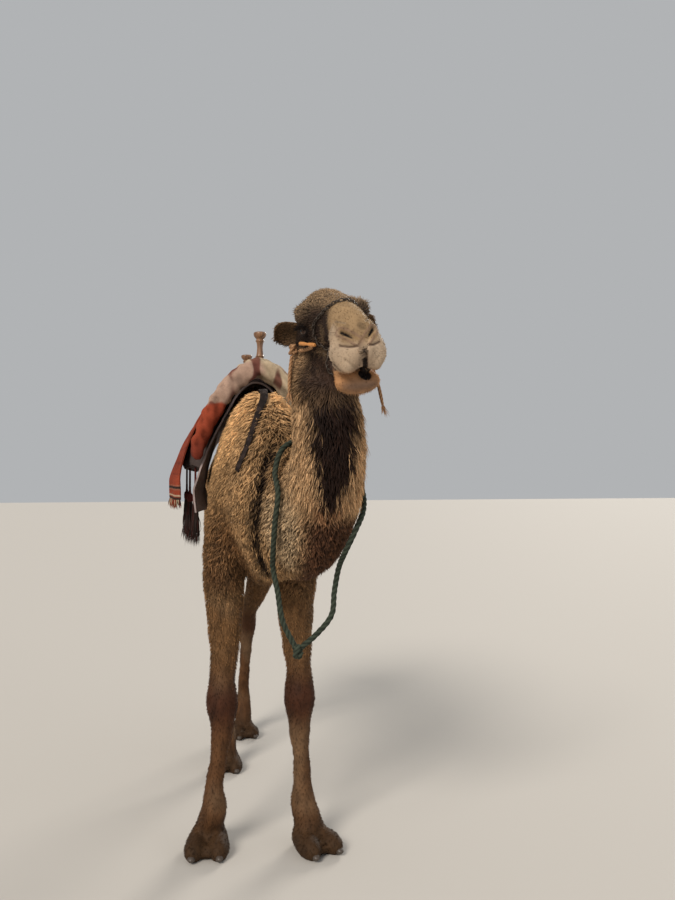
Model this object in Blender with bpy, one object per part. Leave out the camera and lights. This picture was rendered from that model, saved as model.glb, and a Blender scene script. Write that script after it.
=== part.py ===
"""A life-size standing dromedary camel with its riding saddle, blankets, halter and neck rope.

The body is one smooth field: oval tubes and balls, each named for the bone or muscle that it
stands for, flow into each other.  The field is meshed, thinned, and parted with thin cuts into
head, neck, trunk, tail and the lengths of the legs.  The tack is laid on the same field.

Units are metres.  While modelling, the origin is on the floor midway between the front feet,
+X is the camel's left, -Y is forward and +Z is up.  The last step moves everything so that the
origin is on the floor under the middle of the whole object.
"""

import math

import bmesh
import bpy
import numpy as np
from mathutils import Matrix, Vector

# ---------------------------------------------------------------- driving dimensions
WITHERS = 1.855  # height of the back above the front legs
BRISKET = 1.06  # height of the underside of the chest
ELBOW = 1.06  # height where a front leg leaves the trunk
KNEE = 0.60  # height of the carpus, the front knee
HOCK = 0.66  # height of the hock, the hind heel
FETLOCK = 0.17  # height of the joint above the foot
CHEST_HALF = 0.192  # half the width of the chest between the shoulders
BELLY_HALF = 0.208  # half the width of the barrel at its widest
RUMP = 1.50  # distance from the front feet back to the point of the rump
EYE_RADIUS = 0.021
FLESH_TRIANGLES = 2900  # for all the flesh together
CUT = 0.0012  # width of the thin cuts that part the flesh
REST = 0.0006  # gap between pieces that touch

# ---------------------------------------------------------------- the head's own frame
HEAD_AT = np.array([0.166, -0.625, 2.050])  # midway between the eyes
HEAD_PITCH = math.radians(-13.0)  # the nose points below the horizon
HEAD_YAW = math.radians(1.8)  # and a little to the camel's left
HEAD_ROLL = math.radians(-8.0)  # the left ear is carried higher


def head_axes():
    """The head's own left, forward and up directions, as rows."""
    turn = (
        Matrix.Rotation(HEAD_YAW, 3, "Z")
        @ Matrix.Rotation(-HEAD_PITCH, 3, "X")
        @ Matrix.Rotation(HEAD_ROLL, 3, "Y")
    )
    left, back, up = (np.array(turn.col[i]) for i in range(3))
    return np.array([left, -back, up])


HEAD_AXES = head_axes()


def in_head(left, forward, up):
    """A point given along the head's own axes, as a point of the model."""
    return HEAD_AT + np.array([left, forward, up]) @ HEAD_AXES


# ---------------------------------------------------------------- the field's shapes
FAR = 1.0  # value given to points too far away to matter
ACROSS = np.array([1.0, 0.0, 0.0])


def smooth_path(stations, between=3):
    """Adds stations between the given ones, on a Catmull-Rom curve through them all."""
    rows = np.array(stations, float)
    ends = np.vstack([2 * rows[0] - rows[1], rows, 2 * rows[-1] - rows[-2]])
    made = []
    for i in range(1, len(ends) - 2):
        p0, p1, p2, p3 = ends[i - 1 : i + 3]
        for t in np.arange(between) / between:
            made.append(
                0.5
                * (
                    2 * p1
                    + (p2 - p0) * t
                    + (2 * p0 - 5 * p1 + 4 * p2 - p3) * t**2
                    + (3 * p1 - 3 * p2 + p3 - p0) * t**3
                )
            )
    return np.array([*made, rows[-1]])


def merge(a, b, reach):
    """The union of two fields, rounded where they are within reach of each other."""
    h = np.clip(0.5 + 0.5 * (b - a) / reach, 0, 1)
    return b + (a - b) * h - reach * h * (1 - h)


def carve(a, b, reach):
    """Field a with field b taken out of it, its rim rounded."""
    return -merge(-a, b, reach)


def near(points, low, high, margin=0.30):
    return np.all((points > low - margin) & (points < high + margin), axis=1)


def oval_tube(points, stations, side=ACROSS, reach=0.010, between=3, keel=0.0, ridge=0.0):
    """A tube through stations of (x, y, z, half-width along side, half-depth), with round ends.

    On a tube that runs back, the underside is narrower by the share keel and the top by ridge.
    """
    rows = smooth_path(stations, between)
    value = np.full(len(points), FAR)
    wide = rows[:, 3:].max()
    close = near(points, rows[:, :3].min(0) - wide, rows[:, :3].max(0) + wide)
    if not close.any():
        return value
    here = points[close]
    best = np.full(len(here), FAR)
    last = len(rows) - 2
    for i in range(len(rows) - 1):
        start, end = rows[i], rows[i + 1]
        step = end[:3] - start[:3]
        run = step @ step
        along = step / math.sqrt(run)
        t = np.clip((here - start[:3]) @ step / run, 0, 1)
        off = here - start[:3] - t[:, None] * step
        across = side - (side @ along) * along
        across /= np.linalg.norm(across)
        a = start[3] + t * (end[3] - start[3])
        b = start[4] + t * (end[4] - start[4])
        small = np.minimum(a, b)
        deep = off @ np.cross(along, across)
        if keel or ridge:
            high = deep / b
            a = a * (1 + keel * np.clip(high, -1, 0) - ridge * np.clip(high, 0, 1))
        at_end = ((t <= 0) & (i == 0)) | ((t >= 1) & (i == last))
        r = np.sqrt(
            (off @ across / a) ** 2
            + (deep / b) ** 2
            + (off @ along / np.where(at_end, small, b)) ** 2
        )
        best = merge(best, (r - 1) * small, reach)
    value[close] = best
    return value


def ball(points, centre, radii, axes=None):
    """An ellipsoid with the given half-sizes along its axes, which are the model's unless given."""
    centre, radii = np.array(centre, float), np.array(radii, float)
    value = np.full(len(points), FAR)
    wide = radii.max()
    close = near(points, centre - wide, centre + wide)
    off = points[close] - centre
    if axes is not None:
        off = off @ axes.T
    value[close] = (np.sqrt(((off / radii) ** 2).sum(1)) - 1) * radii.min()
    return value


# ---------------------------------------------------------------- anatomy
# Trunk: distance behind the front feet, height of the middle, half-width, half-height.
# The hindquarters stand a little to the left of the line of the front feet.
CHEST_MIDDLE, CHEST_DEPTH = (WITHERS + BRISKET) / 2, (WITHERS - BRISKET) / 2
TRUNK = [
    (-0.200, CHEST_MIDDLE - 0.085, 0.090, 0.150),
    (-0.110, CHEST_MIDDLE - 0.045, 0.150, 0.280),
    (0.020, CHEST_MIDDLE - 0.005, CHEST_HALF - 0.005, CHEST_DEPTH - 0.020),
    (0.190, CHEST_MIDDLE, CHEST_HALF + 0.012, CHEST_DEPTH),
    (0.400, CHEST_MIDDLE - 0.010, BELLY_HALF - 0.012, CHEST_DEPTH - 0.010),
    (0.620, CHEST_MIDDLE, BELLY_HALF, CHEST_DEPTH - 0.030),
    (0.850, CHEST_MIDDLE + 0.015, BELLY_HALF, CHEST_DEPTH - 0.070),
    (1.060, CHEST_MIDDLE + 0.025, BELLY_HALF - 0.010, CHEST_DEPTH - 0.120),
    (1.260, CHEST_MIDDLE, 0.190, 0.250),
    (RUMP - 0.100, CHEST_MIDDLE - 0.035, 0.150, 0.200),
    (RUMP - 0.030, CHEST_MIDDLE - 0.065, 0.090, 0.120),
]
SWAY = 0.032  # sideways shift of the trunk for each metre back


def swayed(y):
    return SWAY * max(y, 0.0)


HUMP = ((swayed(0.66), 0.660, 1.740), (0.112, 0.260, 0.215))


def trunk_stations():
    return [(swayed(row[0]), *row) for row in TRUNK]


# Neck: centre, half-width, half-depth, from inside the chest up to the back of the skull.
NECK = [
    (0.015, 0.110, 1.545, 0.140, 0.305),
    (0.052, -0.080, 1.455, 0.152, 0.300),
    (0.088, -0.230, 1.385, 0.152, 0.265),
    (0.122, -0.365, 1.375, 0.147, 0.228),
    (0.150, -0.475, 1.450, 0.136, 0.185),
    (0.168, -0.530, 1.590, 0.126, 0.152),
    (0.164, -0.525, 1.740, 0.120, 0.132),
    (0.152, -0.495, 1.870, 0.113, 0.116),
    (0.150, -0.470, 1.960, 0.095, 0.100),
]
TAIL = [
    (swayed(RUMP), RUMP - 0.080, 1.530, 0.050, 0.045),
    (swayed(RUMP), RUMP + 0.040, 1.480, 0.034, 0.032),
    (swayed(RUMP), RUMP + 0.100, 1.370, 0.025, 0.023),
    (swayed(RUMP), RUMP + 0.116, 1.230, 0.021, 0.019),
    (swayed(RUMP) + 0.008, RUMP + 0.118, 1.080, 0.032, 0.026),
    (swayed(RUMP) + 0.010, RUMP + 0.114, 0.970, 0.022, 0.018),
]


def front_leg(side, knee_x, fetlock_x, foot):
    """Stations of a front leg; side is +1 on the left, foot the middle of the sole."""
    foot_x, foot_y = foot
    return [
        (side * 0.090, 0.130, 1.480, 0.072, 0.150),
        (side * 0.138, 0.090, 1.360, 0.078, 0.185),
        (side * 0.150, 0.070, 1.200, 0.084, 0.155),
        (side * 0.150, 0.075, ELBOW, 0.080, 0.120),
        (side * 0.148, 0.060, 0.940, 0.073, 0.086),
        (side * 0.150, 0.045, 0.810, 0.060, 0.062),
        (knee_x, 0.030, KNEE + 0.095, 0.052, 0.053),
        (knee_x, 0.020, KNEE, 0.063, 0.063),
        (knee_x, 0.022, KNEE - 0.100, 0.047, 0.047),
        (0.6 * knee_x + 0.4 * fetlock_x, 0.022, 0.370, 0.035, 0.038),
        (fetlock_x, 0.018, FETLOCK + 0.080, 0.038, 0.039),
        (fetlock_x, 0.010, FETLOCK, 0.050, 0.047),
        (0.4 * fetlock_x + 0.6 * foot_x, foot_y + 0.030, 0.095, 0.056, 0.056),
    ]


def hind_leg(side, hock_y, foot):
    """Stations of a hind leg, whose foot may stand further back or forward."""
    foot_x, foot_y = foot
    middle = swayed(1.2)
    return [
        (middle + side * 0.085, 1.230, 1.480, 0.105, 0.180),
        (middle + side * 0.108, 1.190, 1.320, 0.102, 0.200),
        (middle + side * 0.118, 1.130, 1.160, 0.090, 0.175),
        (middle + side * 0.113, 0.45 * hock_y + 0.55 * 1.080, 1.000, 0.076, 0.125),
        (0.75 * middle + side * 0.095, 0.72 * hock_y + 0.28 * 1.080, 0.850, 0.058, 0.080),
        (0.5 * middle + side * 0.075, hock_y - 0.015, HOCK + 0.080, 0.044, 0.062),
        (0.4 * middle + side * 0.070, hock_y, HOCK, 0.050, 0.062),
        (0.3 * middle + side * 0.070, 0.85 * hock_y + 0.15 * foot_y, HOCK - 0.110, 0.036, 0.043),
        (0.3 * foot_x + side * 0.050, 0.50 * (hock_y + foot_y), 0.380, 0.030, 0.035),
        (0.7 * foot_x + side * 0.022, foot_y + 0.040, FETLOCK + 0.080, 0.033, 0.035),
        (foot_x, foot_y + 0.040, FETLOCK, 0.043, 0.042),
        (foot_x, foot_y + 0.020, 0.090, 0.047, 0.048),
    ]


FEET = {  # middle of the sole, which way the toes point (degrees to the left), size
    "front_right": ((-0.215, 0.030), -8.0, 1.0),
    "front_left": ((0.205, -0.035), 20.0, 1.0),
    "hind_right": ((-0.065, 0.950), -5.0, 0.86),
    "hind_left": ((0.070, 1.470), 6.0, 0.86),
}
LEGS = {
    "front_right": front_leg(-1, -0.160, -0.192, FEET["front_right"][0]),
    "front_left": front_leg(1, 0.158, 0.172, FEET["front_left"][0]),
    "hind_right": hind_leg(-1, 1.150, FEET["hind_right"][0]),
    "hind_left": hind_leg(1, 1.450, FEET["hind_left"][0]),
}

# Head, along its own axes: left, forward, up, half-width, half-height.
SKULL = [
    (0.0, -0.130, -0.034, 0.086, 0.076),
    (0.0, -0.070, -0.016, 0.099, 0.092),
    (0.0, 0.000, -0.004, 0.092, 0.094),
    (0.0, 0.070, -0.006, 0.068, 0.094),
    (0.0, 0.150, -0.014, 0.056, 0.088),
    (0.0, 0.230, -0.032, 0.060, 0.080),
    (0.0, 0.290, -0.055, 0.068, 0.070),
    (0.0, 0.325, -0.070, 0.061, 0.056),
]
JAW = [
    (0.0, -0.090, -0.100, 0.080, 0.075),
    (0.0, 0.000, -0.115, 0.068, 0.062),
    (0.0, 0.110, -0.132, 0.054, 0.044),
    (0.0, 0.200, -0.150, 0.060, 0.038),
    (0.0, 0.270, -0.174, 0.067, 0.038),
]


def in_head_stations(rows):
    return [(*in_head(*row[:3]), *row[3:]) for row in rows]


def head_field(points):
    """Skull, jaw, brows, cheeks, nose and lips."""
    left = HEAD_AXES[0]

    def lump(at, radii):
        return ball(points, in_head(*at), radii, HEAD_AXES)

    value = oval_tube(points, in_head_stations(SKULL), left)
    value = merge(value, lump((-0.006, -0.080, 0.050), (0.064, 0.085, 0.050)), 0.05)
    value = merge(value, lump((0, 0.215, 0.010), (0.042, 0.090, 0.040)), 0.04)
    for side in (-1, 1):
        value = merge(value, lump((side * 0.092, -0.002, 0.026), (0.038, 0.056, 0.034)), 0.045)
        value = merge(value, lump((side * 0.062, -0.060, -0.075), (0.040, 0.090, 0.085)), 0.05)
        value = merge(value, lump((side * 0.046, 0.275, -0.032), (0.032, 0.044, 0.034)), 0.03)
    for side in (-1, 1):
        value = merge(value, lump((side * 0.044, 0.305, -0.084), (0.049, 0.052, 0.058)), 0.014)
    jaw = oval_tube(points, in_head_stations(JAW), left)
    jaw = merge(jaw, lump((0.0, 0.280, -0.182), (0.073, 0.048, 0.042)), 0.02)
    value = merge(value, jaw, 0.016)
    for side in (-1, 1):
        value = carve(value, lump((side * 0.140, 0.006, -0.024), (0.032, 0.038, 0.024)), 0.020)
    cleft = [(0.0, 0.366, -0.055, 0.007, 0.007), (0.0, 0.362, -0.130, 0.007, 0.007)]
    return carve(value, oval_tube(points, in_head_stations(cleft), left, between=1), 0.016)


def foot_field(points, foot):
    """Two broad toes side by side and the pad behind them; the floor cuts the sole flat."""
    (x, y), turn, size = foot
    turn = math.radians(turn)
    ahead = np.array([math.sin(turn), -math.cos(turn), 0.0])
    aside = np.array([math.cos(turn), math.sin(turn), 0.0])
    axes = np.array([aside, ahead, (0.0, 0.0, 1.0)])
    middle = np.array([x, y, 0.0])
    heel = middle + size * np.array([0, 0, 0.040]) - 0.028 * ahead
    value = ball(points, heel, size * np.array([0.078, 0.072, 0.062]), axes)
    for side in (-1, 1):
        toe = middle + size * (side * 0.044 * aside + 0.034 * ahead + np.array([0, 0, 0.030]))
        spread = math.radians(side * 7.0)
        toe_ahead = math.cos(spread) * ahead + math.sin(spread) * aside
        toe_aside = math.cos(spread) * aside - math.sin(spread) * ahead
        toe_axes = np.array([toe_aside, toe_ahead, (0.0, 0.0, 1.0)])
        value = merge(
            value, ball(points, toe, size * np.array([0.047, 0.098, 0.052]), toe_axes), 0.012
        )
    return value


def flesh(points):
    """The whole animal's field: negative inside, zero on the outline of the coat."""
    value = oval_tube(points, trunk_stations(), keel=0.20, ridge=0.48)
    value = merge(value, ball(points, *HUMP), 0.10)
    value = merge(value, oval_tube(points, NECK), 0.09)
    for name, stations in LEGS.items():
        leg = oval_tube(points, stations)
        leg = merge(leg, foot_field(points, FEET[name]), 0.030)
        value = merge(value, leg, 0.055)
    value = merge(value, oval_tube(points, TAIL), 0.035)
    return merge(value, head_field(points), 0.045)


def slope(field, points, step=0.0008):
    """The field's value and its gradient at each point, from forward differences."""
    value = field(points)
    moves = np.eye(3) * step
    return value, np.column_stack([(field(points + m) - value) / step for m in moves])


def pulled_to(field, points, level=0.0, rounds=4, most=0.03):
    """Points moved along the gradient until the field has that level."""
    for _ in range(rounds):
        value, gradient = slope(field, points)
        steep = np.maximum((gradient**2).sum(1), 0.05)
        move = (level - value) / steep
        shift = gradient * move[:, None]
        length = np.linalg.norm(shift, axis=1)
        points = points + shift * np.minimum(1, most / np.maximum(length, 1e-9))[:, None]
    return points


# ---------------------------------------------------------------- materials
def finish(name, colour, roughness, metallic=0.0):
    """A Principled BSDF with a plain colour."""
    material = bpy.data.materials.new(name)
    material.use_nodes = True
    shader = material.node_tree.nodes["Principled BSDF"]
    shader.inputs["Base Color"].default_value = (*colour, 1.0)
    shader.inputs["Roughness"].default_value = roughness
    shader.inputs["Metallic"].default_value = metallic
    material.diffuse_color = (*colour, 1.0)
    return material


COAT = finish("coat", (0.43, 0.31, 0.19), 0.9)
EYE = finish("eye", (0.02, 0.012, 0.008), 0.1)
FELT = finish("felt", (0.36, 0.32, 0.31), 0.95)
RUG = finish("rug", (0.35, 0.06, 0.04), 0.9)
PADDING = finish("padding", (0.62, 0.45, 0.35), 0.9)
WOOD = finish("wood", (0.25, 0.13, 0.06), 0.6)
STRAP = finish("strap", (0.03, 0.03, 0.025), 0.8)
ROPE = finish("rope", (0.45, 0.25, 0.13), 0.9)
NECK_ROPE = finish("neck_rope", (0.05, 0.09, 0.07), 0.85)
IRON = finish("iron", (0.30, 0.29, 0.28), 0.4, 1.0)
TOGGLE = finish("toggle", (0.62, 0.22, 0.04), 0.5)
TASSEL = finish("tassel", (0.05, 0.02, 0.015), 0.9)


# ---------------------------------------------------------------- making meshes
def add_object(name, vertices, faces, material, smooth=True):
    """A mesh object in the scene, its faces turned outwards."""
    mesh = bpy.data.meshes.new(name)
    mesh.from_pydata([tuple(v) for v in vertices], [], [tuple(f) for f in faces])
    shape = bmesh.new()
    shape.from_mesh(mesh)
    bmesh.ops.remove_doubles(shape, verts=shape.verts, dist=1e-6)
    bmesh.ops.recalc_face_normals(shape, faces=shape.faces)
    shape.to_mesh(mesh)
    shape.free()
    if smooth:
        mesh.shade_smooth()
        mesh.set_sharp_from_angle(angle=math.radians(40))
    mesh.materials.append(material)
    made = bpy.data.objects.new(name, mesh)
    bpy.context.scene.collection.objects.link(made)
    return made


def ring_faces(rings, sides):
    """Quads between successive rings of points, with flat caps."""
    faces = []
    for i in range(rings - 1):
        here, there = i * sides, (i + 1) * sides
        for j in range(sides):
            k = (j + 1) % sides
            faces.append((here + j, here + k, there + k, there + j))
    faces.append(tuple(reversed(range(sides))))
    faces.append(tuple(range((rings - 1) * sides, rings * sides)))
    return faces


def round_ends(rows):
    """The rows of a tube with two smaller rings past each end, where the field is round."""
    ends = []
    for end, inner in ((rows[0], rows[1]), (rows[-1], rows[-2])):
        outward = end[:3] - inner[:3]
        outward /= np.linalg.norm(outward)
        small = end[3:].min()
        ends.append(
            [
                [*(end[:3] + small * math.sin(turn) * outward), *(end[3:] * math.cos(turn))]
                for turn in (math.radians(40), math.radians(75))
            ]
        )
    return np.array([*reversed(ends[0]), *rows, *ends[1]])


def rough_tube(stations, side=ACROSS, sides=12, between=3):
    """Vertices and faces of a plain tube through the stations, much as the field has it."""
    rows = round_ends(smooth_path(stations, between))
    tangents = np.gradient(rows[:, :3], axis=0)
    tangents /= np.linalg.norm(tangents, axis=1)[:, None]
    across = side - (tangents @ side)[:, None] * tangents
    across /= np.linalg.norm(across, axis=1)[:, None]
    depth = np.cross(tangents, across)
    turn = np.arange(sides) * 2 * math.pi / sides
    rings = (
        rows[:, None, :3]
        + np.cos(turn)[None, :, None] * (across * rows[:, 3:4])[:, None]
        + np.sin(turn)[None, :, None] * (depth * rows[:, 4:5])[:, None]
    )
    return rings.reshape(-1, 3), ring_faces(len(rows), sides)


def evaluated_copy(source, name):
    """A new object whose mesh is the source's with its modifiers applied; the source goes."""
    graph = bpy.context.evaluated_depsgraph_get()
    graph.update()
    mesh = bpy.data.meshes.new_from_object(source.evaluated_get(graph))
    bpy.data.objects.remove(source)
    made = bpy.data.objects.new(name, mesh)
    bpy.context.scene.collection.objects.link(made)
    return made


def coordinates(mesh):
    flat = np.empty(len(mesh.vertices) * 3, np.float32)
    mesh.vertices.foreach_get("co", flat)
    return flat.reshape(-1, 3).astype(float)


def set_coordinates(mesh, points):
    mesh.vertices.foreach_set("co", points.astype(np.float32).ravel())
    mesh.update()


def rough_body():
    """Plain tubes and balls where the field's are, in one mesh, to start the voxels from."""
    shapes = [rough_tube(trunk_stations()), rough_tube(NECK), rough_tube(TAIL)]
    shapes += [rough_tube(stations) for stations in LEGS.values()]
    shapes += [rough_tube(in_head_stations(rows), HEAD_AXES[0]) for rows in (SKULL, JAW)]
    for (x, y), turn, size in FEET.values():
        toe = Vector((math.sin(math.radians(turn)), -math.cos(math.radians(turn)))) * 0.075
        shapes.append(
            rough_tube(
                [(x, y + 0.02, 0.035, 0.075 * size, 0.050 * size),
                 (x + toe.x, y + toe.y, 0.020, 0.080 * size, 0.045 * size)],
            )
        )
    vertices, faces = [], []
    for points, quads in shapes:
        faces += [[i + len(vertices) for i in quad] for quad in quads]
        vertices += list(points)
    centre, radii = np.array(HUMP[0]), np.array(HUMP[1])
    shape = bmesh.new()
    bmesh.ops.create_icosphere(shape, subdivisions=3, radius=0.98)
    faces += [[v.index + len(vertices) for v in face.verts] for face in shape.faces]
    vertices += [centre + radii * np.array(v.co) for v in shape.verts]
    shape.free()
    return add_object("rough", vertices, faces, COAT)


def relax(mesh, rounds):
    """Evens out the mesh, then puts it back on the field."""
    shape = bmesh.new()
    shape.from_mesh(mesh)
    for _ in range(rounds):
        bmesh.ops.smooth_vert(
            shape, verts=shape.verts, factor=0.5, use_axis_x=True, use_axis_y=True, use_axis_z=True
        )
    shape.to_mesh(mesh)
    shape.free()
    set_coordinates(mesh, pulled_to(flesh, coordinates(mesh), rounds=3))


def refine(mesh, wanted):
    """Splits the faces round the wanted vertices in four."""
    shape = bmesh.new()
    shape.from_mesh(mesh)
    shape.verts.ensure_lookup_table()
    edges = [e for e in shape.edges if wanted[e.verts[0].index] or wanted[e.verts[1].index]]
    bmesh.ops.subdivide_edges(shape, edges=edges, cuts=1, use_grid_fill=True)
    bmesh.ops.triangulate(shape, faces=[f for f in shape.faces if len(f.verts) > 4])
    shape.to_mesh(mesh)
    shape.free()


def on_head(points):
    """Which points are in front of the neck and above the throat."""
    local = (points - HEAD_AT) @ HEAD_AXES.T
    return (local[:, 1] > -0.16) & (local[:, 2] > -0.25) & (points[:, 1] < -0.45)


def whole_body(voxel=0.014):
    """The field as one closed mesh, with smaller faces on the head."""
    body = rough_body()
    remesh = body.modifiers.new("voxels", "REMESH")
    remesh.mode, remesh.voxel_size = "VOXEL", voxel
    body = evaluated_copy(body, "voxels")
    set_coordinates(body.data, pulled_to(flesh, coordinates(body.data), rounds=5))
    relax(body.data, 3)
    refine(body.data, on_head(coordinates(body.data)))
    relax(body.data, 2)
    relax(body.data, 2)
    return body


FINE = 0.06  # how strongly the thinning spares the head and the feet


def thinned(body, name="flesh"):
    """The mesh with far fewer triangles, the head's kept about twice as fine."""
    group = body.vertex_groups.new(name="thin")
    points = coordinates(body.data)
    head = on_head(points)
    feet = points[:, 2] < FETLOCK
    for weight, chosen in ((0.45, head), (0.88, feet), (1.0, ~(head | feet))):
        group.add([int(i) for i in np.flatnonzero(chosen)], weight, "REPLACE")
    fewer = body.modifiers.new("fewer", "DECIMATE")
    fewer.vertex_group = group.name
    fewer.vertex_group_factor = FINE
    triangles = sum(len(face.vertices) - 2 for face in body.data.polygons)
    fewer.ratio = FLESH_TRIANGLES / triangles
    return evaluated_copy(body, name)


# ---------------------------------------------------------------- parting the flesh
def box_mesh(shape, centre, axes, sizes):
    """Adds a box to a bmesh, its sizes along the three rows of axes."""
    turn = Matrix([list(row) for row in axes]).transposed().to_4x4()
    place = Matrix.Translation(Vector(centre)) @ turn @ Matrix.Diagonal((*sizes, 1.0))
    bmesh.ops.create_cube(shape, size=1.0, matrix=place)


def plane_axes(normal, side=ACROSS):
    """Three directions at right angles, the last of them the normal."""
    normal = np.array(normal, float)
    normal /= np.linalg.norm(normal)
    across = side - (side @ normal) * normal
    across /= np.linalg.norm(across)
    return np.array([across, np.cross(normal, across), normal])


def cutter(name, build):
    """A hidden object made of the boxes or balls that build adds to a bmesh."""
    shape = bmesh.new()
    build(shape)
    mesh = bpy.data.meshes.new(name)
    shape.to_mesh(mesh)
    shape.free()
    made = bpy.data.objects.new(name, mesh)
    bpy.context.scene.collection.objects.link(made)
    made.hide_render = True
    made.display_type = "WIRE"
    return made


def minus(source, tool, name):
    """The source with the tool cut out of it; both objects are used up."""
    cut = source.modifiers.new("cut", "BOOLEAN")
    cut.operation, cut.solver, cut.object = "DIFFERENCE", "EXACT", tool
    made = evaluated_copy(source, name)
    bpy.data.objects.remove(tool)
    return made


THIGH = 1.05  # height of the cut between trunk and hind legs
SHOULDER = 1.02  # height of the cut between trunk and front legs
DOCK = 1.275  # height of the cut where the tail leaves the rump


def parting_cuts(shape):
    """Thin slabs between the parts of the body, and a block below the soles."""
    throat, poll = in_head(0, 0.080, -0.215), in_head(0, -0.195, 0.070)
    side = HEAD_AXES[0]
    head = (throat + poll) / 2, plane_axes(np.cross(side, poll - throat), side)
    box_mesh(shape, *head, (0.50, 0.60, CUT))
    neck = (0.045, -0.130, 1.420), plane_axes((0.20, -1.0, -0.05))
    box_mesh(shape, *neck, (0.7, 0.9, CUT))
    level = np.eye(3)
    box_mesh(shape, (swayed(RUMP), RUMP + 0.112, DOCK), level, (0.16, 0.095, CUT))
    for y, length, heights in (
        (0.02, 0.50, (SHOULDER, KNEE, FETLOCK)), (1.20, 0.76, (THIGH, HOCK, FETLOCK))
    ):
        for height in heights:
            box_mesh(shape, (0, y, height), level, (0.80, length, CUT))
    box_mesh(shape, (0, 0.6, -0.2), level, (2, 4, 0.4))


def part_middles():
    """A point in the middle of each part of the body, by name."""
    middles = {
        "head": in_head(0, 0.05, -0.02),
        "neck": np.array([0.12, -0.40, 1.45]),
        "trunk": np.array([0.0, 0.60, 1.45]),
        "tail": np.array([0.05, RUMP + 0.11, 1.10]),
    }
    for name, stations in LEGS.items():
        rows = np.array(stations)[:, :3]
        top = SHOULDER if name.startswith("front") else THIGH
        joint = KNEE if name.startswith("front") else HOCK
        for length, (low, high) in {
            "upper": (joint, top), "lower": (FETLOCK, joint), "foot": (0.0, FETLOCK),
        }.items():
            z = (low + high) / 2
            order = np.argsort(rows[:, 2])
            x = np.interp(z, rows[order, 2], rows[order, 0])
            y = np.interp(z, rows[order, 2], rows[order, 1])
            middles[f"{name}_{length}"] = np.array([x, y, z])
    return middles


def loose_parts(source):
    """Splits an object into its separate bodies and names each for the middle it is nearest."""
    middles = part_middles()
    bpy.context.view_layer.objects.active = source
    for thing in bpy.context.scene.objects:
        thing.select_set(thing == source)
    bpy.ops.mesh.separate(type="LOOSE")
    parts = {}
    for piece in [o for o in bpy.context.scene.objects if o.select_get()]:
        centre = coordinates(piece.data).mean(0)
        name = min(middles, key=lambda key: np.linalg.norm(middles[key] - centre))
        assert name not in parts, name
        parts[name] = piece
        piece.name = piece.data.name = name
        piece.vertex_groups.clear()
        piece.data.shade_smooth()
        piece.data.set_sharp_from_angle(angle=math.radians(50))
        piece.data.materials.clear()
        piece.data.materials.append(COAT)
    assert len(parts) == len(middles), sorted(set(middles) - set(parts))
    return parts


# ---------------------------------------------------------------- eyes and ears
EYE_PLACES = {"left": in_head(0.098, 0.006, -0.024), "right": in_head(-0.098, 0.006, -0.024)}
BALL_STEPS = 2  # subdivisions of the eyeball


def eye_ball(shape, centre, radius):
    bmesh.ops.create_icosphere(
        shape, subdivisions=BALL_STEPS, radius=radius, matrix=Matrix.Translation(Vector(centre))
    )


def make_eyes():
    for side, centre in EYE_PLACES.items():
        shape = bmesh.new()
        eye_ball(shape, centre, EYE_RADIUS)
        mesh = bpy.data.meshes.new(f"eye_{side}")
        shape.to_mesh(mesh)
        shape.free()
        mesh.materials.append(EYE)
        mesh.shade_smooth()
        made = bpy.data.objects.new(f"eye_{side}", mesh)
        bpy.context.scene.collection.objects.link(made)


NOSTRIL = [  # from beside the middle of the nose outwards: left, forward, up, half-width
    (0.010, 0.352, -0.050, 0.003),
    (0.024, 0.346, -0.043, 0.006),
    (0.044, 0.334, -0.028, 0.007),
    (0.062, 0.316, -0.012, 0.003),
]


def eye_sockets(shape):
    """Balls that leave room for the eyes, and the slits of the nostrils."""
    for centre in EYE_PLACES.values():
        eye_ball(shape, centre, EYE_RADIUS + REST)
    for side in (-1, 1):
        places = [in_head(side * row[0], *row[1:3]) for row in NOSTRIL]
        places = pulled_to(head_field, np.array(places), level=-0.002, rounds=8)
        stations = [(*place, row[3], row[3]) for place, row in zip(places, NOSTRIL)]
        points, faces = rough_tube(stations, HEAD_AXES[2], sides=6, between=1)
        made = [shape.verts.new(point) for point in points]
        new = [shape.faces.new([made[i] for i in face]) for face in faces]
        bmesh.ops.recalc_face_normals(shape, faces=new)


EAR_LENGTH = 0.125
EAR_HALF = 0.052  # half the width at its widest
EAR_THICK = 0.009


def ear_leaf(steps=7, across=6):
    """Outer and inner grids of a cupped leaf: length along X, width along Y, open towards +Z."""
    s = np.linspace(0, 1, steps)[:, None]
    t = np.linspace(-1, 1, across)[None, :]
    half = EAR_HALF * (0.62 + 0.38 * np.sin(math.pi / 2 * np.clip(s * 1.6, 0, 1)))
    half = half * np.sqrt(np.clip(1.04 - s**5, 0.04, 1))
    cup = 1.35 - 0.80 * s  # how far round each rim goes, in radians
    radius = half / np.sin(cup)
    grids = []
    for inset in (0.0, 1.0):
        thick = EAR_THICK * inset * np.sqrt(np.clip(1.04 - t**4, 0.04, 1)) * (1 - 0.6 * s)
        wide = (radius - thick) * np.sin(cup * t)
        deep = radius * 0.4 - (radius - thick) * np.cos(cup * t)
        grids.append(np.stack([EAR_LENGTH * s + 0 * t, wide, deep], axis=-1))
    return grids


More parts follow.
